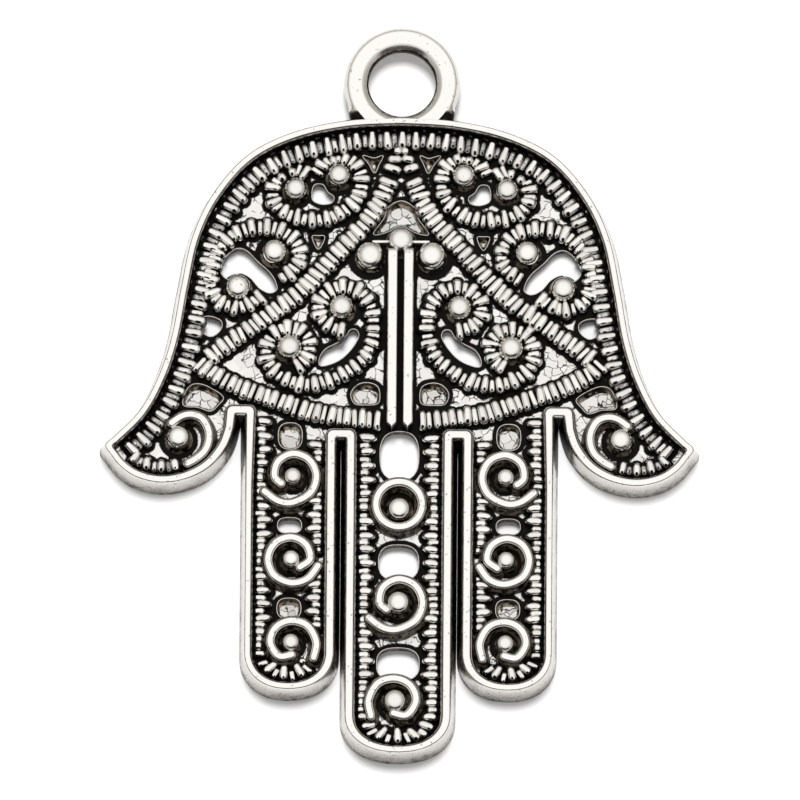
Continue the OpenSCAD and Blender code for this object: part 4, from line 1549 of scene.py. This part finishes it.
    def pocket_floor(self, points: Array, loop: Array) -> Surface:
        """The inner points of a pocket's floor, darkened with painted shadow where its wall on the crown's
        side would shade them.

        Args:
            points: The floor's points.
            loop: The floor's outline.

        Returns:
            A surface of points alone.
        """
        # Painted shadow: a point is darker the nearer its place, moved towards the crown, comes to the wall
        # or past it
        moved = points[:, :2] + [0, self.shadow_reach]
        edge = np.column_stack([loop, np.roll(loop, -1, axis=0), np.zeros(len(loop))])
        deep = distance_to_segments(moved, edge) * np.where(inside(moved, loop), 1, -1)
        clear = np.clip(deep / self.floor_fade[0] + self.floor_fade[1], self.floor_least, 1)
        tone = self.floor_tone[0] + self.floor_tone[1] * clear
        return Surface(points, wear_and_shade=clear, tone=tone, crackle=clear)

    @staticmethod
    def welded(parts: list[Surface]) -> Surface:
        """Stacks parts whose faces already number the stacked points."""
        return Surface(
            *(np.vstack([getattr(p, name) for p in parts]) for name in ("points", "quads", "triangles")),
            *(np.concatenate([p.values(name) for p in parts]) for name in VALUES),
        )

    def slot_shade(self, loop: Array) -> Array:
        """How far each point of the outline lies inside a slot.

        Args:
            loop: The outline.

        Returns:
            1 for each point deep inside a slot, and 0 outside it.
        """
        x, y = np.abs(loop[:, 0]), loop[:, 1]
        margin = CAST.slot_w * self.slot_margin
        finger_slot = CAST.middle_w / 2
        thumb_slot = CAST.side_out + CAST.rim_w
        below = y < CAST.rim_all
        inner = below & (x > finger_slot - margin) & (x < finger_slot + CAST.slot_w + margin)
        outer = below & (x > thumb_slot - margin)
        low = CAST.end_h - CAST.side_len
        finger_deep = np.clip((y - low + self.finger_dark[0]) / self.finger_dark[1], 0, 1)
        near = np.clip((thumb_slot - x) / CAST.slot_w + self.thumb_reach, 0, 1)
        thumb_deep = near * np.clip((y + self.thumb_dark[0]) / self.thumb_dark[1], 0, 1)
        return np.maximum(np.where(inner, finger_deep, 0), np.where(outer, thumb_deep, 0))

    def rim_row(
        self, loops: Array, shade: Array, across: float, down: float, wear_and_shade: float, tone: float,
    ) -> Array:
        """One row of the rim's profile: two levels' outlines mixed, and pushed out of the bail's hole.

        Args:
            loops: The outlines.
            shade: How far each point lies inside a slot.
            across: Place across the rim, with 1 at the flat's outer edge and 2 at the back.
            down: Height under the rim's top.
            wear_and_shade: The row's wear, which may hold painted shade.
            tone: The row's tone.

        Returns:
            Rows of x, y, height, wear and tone.
        """
        lower = 1 if across > 1 else 0
        share = (across - lower) * (1 + (self.slot_lean * shade[:, None] if lower else 0))
        row = loops[lower] + (loops[lower + 1] - loops[lower]) * share
        from_bore = row - [0, CAST.bail_y]
        away = np.linalg.norm(from_bore, axis=1, keepdims=True)
        row = np.where(away < CAST.bore_r, [0, CAST.bail_y] + from_bore * CAST.bore_r / away, row)
        if down > CAST.bail_t:
            row[:, 1] = np.minimum(row[:, 1], CAST.bail_y - CAST.bore_r - CAST.crown_relief)
        worn = wear_and_shade * (1 - shade if across > self.dark_from else np.ones(len(row)))
        if down > self.corner_from:
            worn = worn * crevice_tarnish_and_shade(row)
        return np.column_stack([row, np.full(len(row), CAST.top - down), worn, np.full(len(row), tone)])

    @staticmethod
    def lip(loop: Array, profile: tuple) -> list[Array]:
        """The rows of an opening's wall, from the ground inwards and down.

        Args:
            loop: The opening's outline.
            profile: Rows of the distance into the ground, height over it, wear and tone.

        Returns:
            Rows of x, y, height, wear and tone, for each row of the profile.
        """
        normal = -outward(loop, closed=True)
        flat = np.ones(len(loop))
        return [
            np.column_stack([loop + normal * out, flat * (CAST.ground_t + up), flat * wear_and_shade, flat * tone])
            for out, up, wear_and_shade, tone in profile
        ]


@dataclass
class Bail(Piece):
    """The round eye at the crown."""

    sides: int = 144
    # Where across the rim's flat the bail ends, and the step of the line that it ends on
    reach: float = 0.45
    line_step: float = 0.2
    # Radius from which the corners at the crown are dark with tarnish and painted shade
    corner_from: float = 4.2
    # Angles from straight down between which the fillet grows, its size and where its section begins
    fillet: tuple[float, float] = (67.0, 54.0)
    fillet_size: float = 0.45
    fillet_from: float = 4.4
    # Radius, height under the rim's top, wear and tone, once round the section from the bore's foot.
    # The low tones on the outer wall grey the silver as painted shade
    profile: tuple = (
        (2.85, 1.5, 0.6, 0.6), (4.38, 1.5, 0.6, 0.6), (4.5, 1.47, 0.65, 0.5), (4.58, 1.35, 0.7, 0.5),
        (4.65, 0.9, 0.72, 0.25), (4.6, 0.6, 0.72, 0.3), (4.48, 0.28, 0.7, 0.35), (4.38, 0.13, 0.6, 0.35),
        (4.27, 0.045, 0.85, 0.8), (4.14, 0.012, 1.0, 1.0), (4.05, 0.01, 1.0, 1.0), (3.32, 0.01, 1.0, 1.0),
        (3.26, 0.012, 0.95, 0.9), (3.18, 0.04, 0.6, 0.7), (3.1, 0.1, 0.9, 0.95), (3.0, 0.18, 0.85, 0.9),
        (2.96, 0.215, 0.45, 0.7), (2.92, 0.25, 0.85, 0.85), (2.86, 0.3, 0.65, 0.7), (2.82, 0.335, 0.2, 0.5),
        (2.7, 0.47, 0.0, 0.4), (2.7, 1.25, 0.15, 0.4), (2.74, 1.42, 0.4, 0.5), (2.79, 1.48, 0.6, 0.6),
    )

    def surface(self) -> Surface:
        """The section turned round the bail's axis and held back on the rim's flat.

        A vertex is (r cos a, r sin a, z), with r no more than the distance from the axis to
        a line along the rim's flat in that direction. A fillet makes the outer wall's r
        larger towards the crown.

        Returns:
            The closed ring.
        """
        angle = np.arange(self.sides) * 360 / self.sides
        section = np.array(self.profile)
        limit = self.limits(angle)
        grown = np.interp(-np.abs(angle - 270), [-self.fillet[0], -self.fillet[1]], [0, self.fillet_size])
        radius = section[:, :1] + np.where(section[:, :1] > self.fillet_from, grown[None, :], 0)
        radius = np.minimum(radius, limit[None, :])
        xy = turned(angle[None, :], radius) + [0, CAST.bail_y]
        z = np.broadcast_to(CAST.top - section[:, 1:2], radius.shape)
        rows = np.arange(radius.size).reshape(radius.shape)
        quads = strips(np.vstack([rows, rows[:1]]), outwards=False)
        points = np.dstack([xy, z]).reshape(-1, 3)
        outer = np.repeat(section[:, 0] > self.corner_from, self.sides)
        worn = np.repeat(section[:, 2], self.sides) * np.where(outer, crevice_tarnish_and_shade(points), 1)
        return Surface(points, quads, wear_and_shade=worn, tone=np.repeat(section[:, 3], self.sides))

    def limits(self, angle: Array) -> Array:
        """Distance from the bail's axis to the line on the rim's flat that it ends on.

        Args:
            angle: Directions in degrees.

        Returns:
            The distance in each direction, and a far one away from the crown.
        """
        loops = CAST.outlines(self.line_step)
        line = loops[0] + (loops[1] - loops[0]) * self.reach - [0, CAST.bail_y]
        x, y = line.T
        near = line[(np.abs(x) < 2 * CAST.bail_r) & (y < 0) & (y > -2 * CAST.bail_r)]
        direction = np.degrees(np.arctan2(near[:, 1], near[:, 0])) % 360
        order = np.argsort(direction)
        far = 3 * CAST.bail_r
        distance = np.linalg.norm(near, axis=1)[order]
        return np.interp(angle, direction[order], distance, left=far, right=far)


@dataclass
class Ribs(Piece):
    """The short upright ribs, each a rounded bar with its own small irregularity."""

    seed: int = 7
    # Spread of each of a rib's columns, the most spreads that it strays, and the ranges of the tones and of
    # the dark eyes of painted reflection
    scatter: tuple[float, ...] = (0.03, 0.03, 3.5, 0.08, 0.03, 0.04, 0, 0)
    most: float = 2
    tones: tuple[float, float] = (0.7, 1)
    eye_scales: tuple[float, float] = (0.6, 1.25)
    fanning: float = 0.95
    corners: int = 12
    root: float = 0.12
    bluntness: float = 0.92
    least_straight: float = 0.01
    low_wear: float = 0.5
    # Inset at the sides and at the ends as shares of the half width, height as a share of the rib's, wear
    levels: tuple = ((0.0, 0.0, 0.0, 0.0), (0.03, 0.05, 0.56, 0.2), (0.09, 0.18, 0.76, 0.75),
                     (0.22, 0.42, 0.9, 1.0), (0.42, 0.72, 0.97, 1.0), (0.7, 1.1, 1.0, 1.0))
    # The place of the dark eye, a painted reflection, at an upright rib's end, its size there and its growth
    # on a level rib, in half widths
    eye_place: tuple[float, float] = (0.62, 1.0)
    eye_size: tuple[float, float] = (0.37, 0.44)
    eye_growth: tuple[float, float] = (-0.26, 0.5)

    def surface(self) -> Surface:
        """Every rib at once, from arrays.

        A rib's outline at a level is a bar with half-round ends: its half width and half
        length less the level's insets, turned and moved to its place. Its width grows along
        it with its flare, so that ribs round a bend fan out. The ends are blunt: the powers
        of the corner's cosine and sine are below 1. Roundness shortens the straight sides,
        up to an ellipse. Low ribs are worn less. Each rib has a dark eye, a painted reflection
        of dark surroundings, near the end or on the side that looks towards the fingers' tips.

        Returns:
            The closed ribs.
        """
        rng = np.random.default_rng(self.seed)
        rows = CAST.ribs()
        count = len(rows)
        scatter = rng.normal(0, 1, (count, rows.shape[1])).clip(-self.most, self.most)
        rows = rows + scatter * self.scatter
        half_w = rows[:, 5] / 2
        tone = rng.uniform(*self.tones, count)
        eye_scale = rng.uniform(*self.eye_scales, count)
        levels = np.array(self.levels)
        angle = np.radians((np.arange(self.corners) + 0.5) * 360 / self.corners)
        c, s = (np.sign(v) * np.abs(v) ** self.bluntness for v in (np.cos(angle), np.sin(angle)))
        across = half_w[:, None] * (1 - levels[None, :, 0])
        lengthwise = rows[:, 3:4] / 2 - half_w[:, None] * levels[None, :, 1] - across
        straight = np.maximum(lengthwise, self.least_straight)[..., None] * np.where(s > 0, 1, -1)
        y = across[..., None] * s + straight * (1 - rows[:, 7, None, None] * (1 - np.abs(s)))
        x = across[..., None] * c * (1 + self.fanning * rows[:, 6, None, None] * y)
        z = CAST.ground_t + levels[None, :, 2] * rows[:, 4:5]
        z[:, 0] -= self.root
        eyes = self.eyes(rows, half_w, eye_scale, x, y)
        lean = np.radians(rows[:, 2])[:, None, None]
        px = rows[:, 0, None, None] + x * np.cos(lean) - y * np.sin(lean)
        py = rows[:, 1, None, None] + x * np.sin(lean) + y * np.cos(lean)
        pz = np.broadcast_to(z[..., None], px.shape)
        points = np.stack([px, py, pz], axis=-1)
        size = len(levels) * self.corners
        ring = np.arange(size).reshape(len(levels), self.corners)
        last = self.corners - 1
        half = self.corners // 2
        bridge = np.array([[k, k + 1, half - 2 - k, half - 1 - k] for k in range(half // 2 - 1)])
        lid = np.vstack([bridge, bridge + half, [[last, 0, half - 1, half]]])
        quads = np.vstack([strips(ring, False), ring[-1][lid], ring[0][lid[:, ::-1]]])
        quads = (quads[None] + (np.arange(count) * size)[:, None, None]).reshape(-1, 4)
        worn = np.interp(rows[:, 4], [CAST.low_rib_h, CAST.short_rib_h], [self.low_wear, 1])
        wear_and_shade = (worn[:, None] * np.repeat(levels[:, 3], self.corners)).ravel()
        return Surface(points.reshape(-1, 3), quads, wear_and_shade=wear_and_shade, tone=np.repeat(tone, size),
                       reflection_eye_across=eyes[0].ravel(), reflection_eye_along=eyes[1].ravel())

    def eyes(self, rows: Array, half_w: Array, scale: Array, x: Array, y: Array) -> tuple[Array, Array]:
        """Places of points from the middle of their rib's dark eye, a painted reflection, in shares of the
        eye's size.

        Args:
            rows: The ribs' rows.
            half_w: Their half widths.
            scale: Size of each eye, as a share of the usual one.
            x: Places across each rib.
            y: Places along each rib.

        Returns:
            The places across and along, from the eye's middle.
        """
        lean = np.radians(rows[:, 2])
        sideways, endways = -np.sin(lean), np.clip(-2 * np.cos(lean), -1, 1)
        upright = np.abs(endways)
        middle_x = self.eye_place[0] * half_w * sideways
        middle_y = (rows[:, 3] / 2 - self.eye_place[1] * half_w) * endways
        size_x = (self.eye_size[0] + self.eye_growth[0] * (1 - upright)) * half_w * scale
        size_y = (self.eye_size[1] + self.eye_growth[1] * (1 - upright)) * half_w * scale
        parts = ((x, middle_x, size_x), (y, middle_y, size_y))
        return tuple((v - middle[:, None, None]) / size[:, None, None] for v, middle, size in parts)


@dataclass
class Balls(Piece):
    """The balls on their cone-shaped stems."""

    sides: int = 32
    root: float = 0.1
    rings: int = 16
    squareness: float = 1.2
    # Share of the cone's height and wear there, from its foot, and the power that bends its side
    cone: tuple = ((0, 0.05), (0.08, 0.1), (0.13, 0.5), (0.18, 0.1), (0.3, 0.22), (0.7, 0.2), (0.95, 0.05))
    cone_power: float = 0.85
    stem_tone: float = 0.4
    # Degrees over which the sphere's wear rises; its least tone, the range and the turn from ball to ball
    wear_rise: float = 25
    tones: tuple[float, float] = (0.85, 0.15)
    tone_turn: float = 2.4

    def surface(self) -> Surface:
        """Each ball is a profile turned round its axis: a cone, a neck and a slightly squared sphere.

        The sphere's radius and height are r cos(a)^(1/q) and r sin(a)^(1/q), with q the squareness.

        Returns:
            The closed balls.
        """
        balls = []
        cone_share, cone_wear = np.array(self.cone).T
        for number, (x, y, radius) in enumerate(CAST.balls()):
            middle = CAST.ball_top - radius
            lowest = -math.degrees(math.acos(CAST.stem_neck))
            angle = np.linspace(lowest, 90, self.rings)
            sphere = turned(angle, 1)
            squared = np.abs(sphere) ** (1 / self.squareness)
            sphere = np.where(sphere > 0, squared, sphere) * radius + [0, middle]
            neck = middle + radius * math.sin(math.radians(lowest))
            foot = CAST.ground_t - self.root
            taper = (CAST.stem_neck - CAST.stem_foot) * cone_share ** self.cone_power
            cone = np.column_stack([radius * (CAST.stem_foot + taper), foot + (neck - foot) * cone_share])
            profile = np.vstack([cone, sphere])
            sphere_wear = np.clip((angle - lowest) / self.wear_rise, 0, 1)
            ball = revolved(np.array([x, y]), profile, np.concatenate([cone_wear, sphere_wear]), self.sides)
            shade = self.tones[0] + self.tones[1] * math.sin(number * self.tone_turn) ** 2
            ring_tone = np.where(np.arange(len(profile)) < len(cone), self.stem_tone, shade)
            ball.tone = np.concatenate([np.repeat(ring_tone[:-1], self.sides), [self.stem_tone, shade]])
            balls.append(ball)
        return joined(balls)


@dataclass
class Wires(Piece):
    """The flat-topped wires: the thumbs' hooks, the finger scrolls and the closed ring."""

    arc: int = 7
    ring_sides: int = 72
    # Inset, height under the wire's top, wear, tone. The low wear just past the top's edge paints a
    # dashed dark line, partly tarnish and partly a painted reflection of dark surroundings
    levels: tuple = ((-0.34, 1.7, 0.0, 0.4), (-0.26, 1.3, 0.26, 0.4), (-0.12, 0.75, 0.32, 0.4),
                     (-0.03, 0.36, 0.1, 0.4), (-0.01, 0.2, 0.1, 0.4), (0.0, 0.15, 0.85, 0.75),
                     (0.045, 0.11, 0.9, 0.7), (0.08, 0.08, 0.85, 0.7), (0.095, 0.07, 0.38, 0.8),
                     (0.13, 0.04, 0.38, 0.8), (0.15, 0.006, 0.95, 1.0), (0.18, 0.0, 1.0, 1.0))

    def surface(self) -> Surface:
        """Every open wire as a loft over its path, and the ring as a loft over a whole turn.

        Returns:
            The closed wires.
        """
        levels = np.array(self.levels)
        levels[:, 1] = CAST.wire_top - levels[:, 1]
        half = CAST.wire_w / 2
        wires = [lofted_line(path, np.full(len(path), half), levels, self.arc) for path in CAST.wire_paths()]
        for form, _, middle, radius, _ in CAST.finger_scrolls():
            if form is Form.RING:
                wires.append(self.ring(middle, radius, half, levels))
        return joined(wires)

    def ring(self, middle: Array, radius: float, half: float, levels: Array) -> Surface:
        """A closed round wire: the section's two sides turned once round the middle.

        Args:
            middle: x and y of the ring's axis.
            radius: Radius of the wire's middle line.
            half: Half width of the wire.
            levels: Rows of inset, height, wear and tone, from the foot to the top.

        Returns:
            The closed ring.
        """
        outer = np.column_stack([radius + half - levels[:, 0], levels[:, 1:]])
        inner = np.column_stack([radius - half + levels[:, 0], levels[:, 1:]])[::-1]
        section = np.vstack([outer, inner])
        angle = np.arange(self.ring_sides) * 360 / self.ring_sides
        xy = middle + turned(angle[None, :], section[:, :1])
        z = np.broadcast_to(section[:, 1:2], xy.shape[:2])
        rows = np.arange(z.size).reshape(z.shape)
        quads = strips(np.vstack([rows, rows[:1]]), outwards=False)
        worn, tone = (np.repeat(section[:, k], len(angle)) for k in (2, 3))
        return Surface(np.dstack([xy, z]).reshape(-1, 3), quads, wear_and_shade=worn, tone=tone)


@dataclass
class Bars(Piece):
    """The two bars down the middle of the palm, with their points, and the bar across their top."""

    # Inset, height under the rim's top, wear, tone
    levels: tuple = ((0.0, 1.9, 0.0, 0.4), (0.0, 0.4, 0.2, 0.4), (0.02, 0.15, 0.6, 0.8),
                     (0.06, 0.04, 0.85, 0.9), (0.11, 0.006, 1.0, 1.0), (0.16, 0.0, 1.0, 1.0))
    # Points along a bar's point, along its length and along the cross-bar, and round the latter's ends
    point_steps: int = 6
    bar_steps: int = 40
    cross_steps: int = 24
    arc: int = 3
    # How far the bars stop short of the ball over them
    drop: float = 0.65

    def surface(self) -> Surface:
        """Each bar is a loft over a straight path whose half width grows from its point.

        Returns:
            The closed bars.
        """
        low, high = (y * CAST.cell[1] for y in BARS)
        x = (CAST.groove_w + CAST.bar_w) / 2
        half = CAST.bar_w / 2
        point = low + half * np.linspace(0, 1, self.point_steps)
        y = np.concatenate([point, np.linspace(low + half, high - self.drop, self.bar_steps)[1:]])
        width = np.minimum(y - low, half)
        levels = np.array(self.levels)
        levels[:, 1] = CAST.top - levels[:, 1]
        bars = [
            lofted_line(np.column_stack([np.full(len(y), side * x), y]), width, levels, 0) for side in (-1, 1)
        ]
        reach = CAST.cross_reach * CAST.cell[0]
        x = np.linspace(-reach, reach, self.cross_steps)
        across = np.column_stack([x, np.full(len(x), high + CAST.cross_w / 4)])
        levels[:, 1] -= CAST.top - CAST.ground_t - CAST.short_rib_h
        bars.append(lofted_line(across, np.full(len(x), CAST.cross_w / 2), levels, self.arc))
        return joined(bars)


@dataclass(frozen=True)
class Studio:
    """The pale floor, the soft light and the camera, in millimetres and degrees."""

    aim: tuple[float, float, float] = (0.016, -0.77, 3.0)
    tilt: float = 12.0
    roll: float = 0.42
    distance: float = 2500.0
    view_width: float = 64.0
    floor_size: float = 1600.0
    lamp_tilt: float = 16.0
    lamp_distance: float = 500.0
    lamp_size: float = 150.0
    lamp_power: float = 3.3
    clearance: float = 0.01
    floor_color: tuple[float, ...] = (0.62, 0.62, 0.62, 1)
    floor_roughness: float = 0.8
    floor_gloss: float = 0.1
    # The surround's colours at the horizon and overhead, and the heights of a ray between which they blend
    horizon: tuple[float, ...] = (0.42, 0.4, 0.37, 1)
    overhead: tuple[float, ...] = (1.04, 1.04, 1.04, 1)
    rise: tuple[float, float] = (0.05, 0.95)
    # The dark card on the fingers' side: its colour, and where its foot, its top and its sides fade
    card: tuple[float, ...] = (0.01, 0.01, 0.01, 1)
    card_foot: tuple[float, float] = (-0.1, 0.0)
    card_top: tuple[float, float] = (0.5, 0.4)
    card_side: tuple[float, float] = (-0.55, -0.75)

    def floor(self) -> None:
        """Lays the pale floor under the pendant's back."""
        half = self.floor_size * MM / 2
        mesh = bpy.data.meshes.new("floor")
        z = -self.clearance * MM
        corners = [(-half, -half, z), (half, -half, z), (half, half, z), (-half, half, z)]
        mesh.from_pydata(corners, [], [(0, 1, 2, 3)])
        floor = bpy.data.objects.new("floor", mesh)
        bpy.context.scene.collection.objects.link(floor)
        material = bpy.data.materials.new("pale_floor")
        material.use_nodes = True
        shader = material.node_tree.nodes["Principled BSDF"]
        shader.inputs["Base Color"].default_value = self.floor_color
        shader.inputs["Roughness"].default_value = self.floor_roughness
        shader.inputs["Specular IOR Level"].default_value = self.floor_gloss
        mesh.materials.append(material)

    def light(self) -> None:
        """Hangs a broad soft lamp over the crown's side, in a surround that is palest overhead.

        The lamp lights the metal but isn't mirrored in it. The flats mirror the surround.
        """
        lean = math.radians(self.lamp_tilt)
        lamp = bpy.data.lights.new("soft_lamp", "AREA")
        lamp.shape = "DISK"
        lamp.size = self.lamp_size * MM
        lamp.energy = self.lamp_power
        holder = bpy.data.objects.new("soft_lamp", lamp)
        holder.visible_glossy = False
        place = Vector((0, math.sin(lean), math.cos(lean))) * self.lamp_distance * MM
        holder.matrix_world = Matrix.Translation(place) @ Matrix.Rotation(-lean, 4, "X")
        bpy.context.scene.collection.objects.link(holder)
        world = bpy.data.worlds.new("surround")
        bpy.context.scene.world = world
        world.use_nodes = True
        world.node_tree.nodes.clear()
        g = Graph(world.node_tree)
        way = g.node("ShaderNodeTexCoord").outputs["Generated"]
        _, y, z = g.node("ShaderNodeSeparateXYZ", {0: way}).outputs
        sky = g.mixed(g.between(z, *self.rise), self.horizon, self.overhead)
        low = g.times(g.between(z, *self.card_foot), g.between(z, *self.card_top))
        shown = g.mixed(g.times(low, g.between(y, *self.card_side)), sky, self.card)
        back = g.node("ShaderNodeBackground", {"Color": shown, "Strength": 1.0})
        g.node("ShaderNodeOutputWorld", {"Surface": back.outputs[0]})

    def camera(self) -> None:
        """Looks down at the pendant from its fingers' side, as the photograph does."""
        tilt, roll = math.radians(self.tilt), math.radians(self.roll)
        back = Vector((0, -math.sin(tilt), math.cos(tilt)))
        right, up = Vector((1, 0, 0)), Vector((0, math.cos(tilt), math.sin(tilt)))
        turned_right = right * math.cos(roll) + up * math.sin(roll)
        turned_up = up * math.cos(roll) - right * math.sin(roll)
        lens = bpy.data.cameras.new("camera")
        lens.angle = 2 * math.atan(self.view_width / 2 / self.distance)
        camera = bpy.data.objects.new("camera", lens)
        turn = Matrix((turned_right, turned_up, back)).transposed().to_4x4()
        place = Vector(self.aim) * MM + back * self.distance * MM
        camera.matrix_world = Matrix.Translation(place) @ turn
        bpy.context.scene.collection.objects.link(camera)
        bpy.context.scene.camera = camera

    def build(self) -> None:
        """Sets up the floor, the light, the camera and a plain view transform."""
        self.floor()
        self.light()
        self.camera()
        view = bpy.context.scene.view_settings
        view.view_transform = "Standard"
        view.look = "None"


def main() -> None:
    """Builds the studio and each piece in order, and reports them."""
    logging.basicConfig(level=logging.INFO, format="%(name)s: %(message)s")
    Studio().build()
    group = Patina().group()
    pieces = [
        Plate("plate", SilverFinish("plate_silver", softness=0.14, raggedness=0.45)),
        Bail("bail", SilverFinish("bail_silver", raggedness=0.45)),
        Ribs("ribs", SilverFinish("rib_silver", softness=0.14, raggedness=0.45, pits=0.08, polish=0.16)),
        Balls("balls", SilverFinish("ball_silver", raggedness=0.1, pits=0.03, polish=0.14, relief=0.05)),
        Wires("wires", SilverFinish("wire_silver", raggedness=0.55)),
        Bars("bars", SilverFinish("bar_silver")),
    ]
    for piece in pieces:
        made = piece.build()
        piece.dress(made, group)
        LOG.info("%s: %d points, %d faces", made.name, len(made.data.vertices), len(made.data.polygons))


if __name__ == "__main__":
    main()
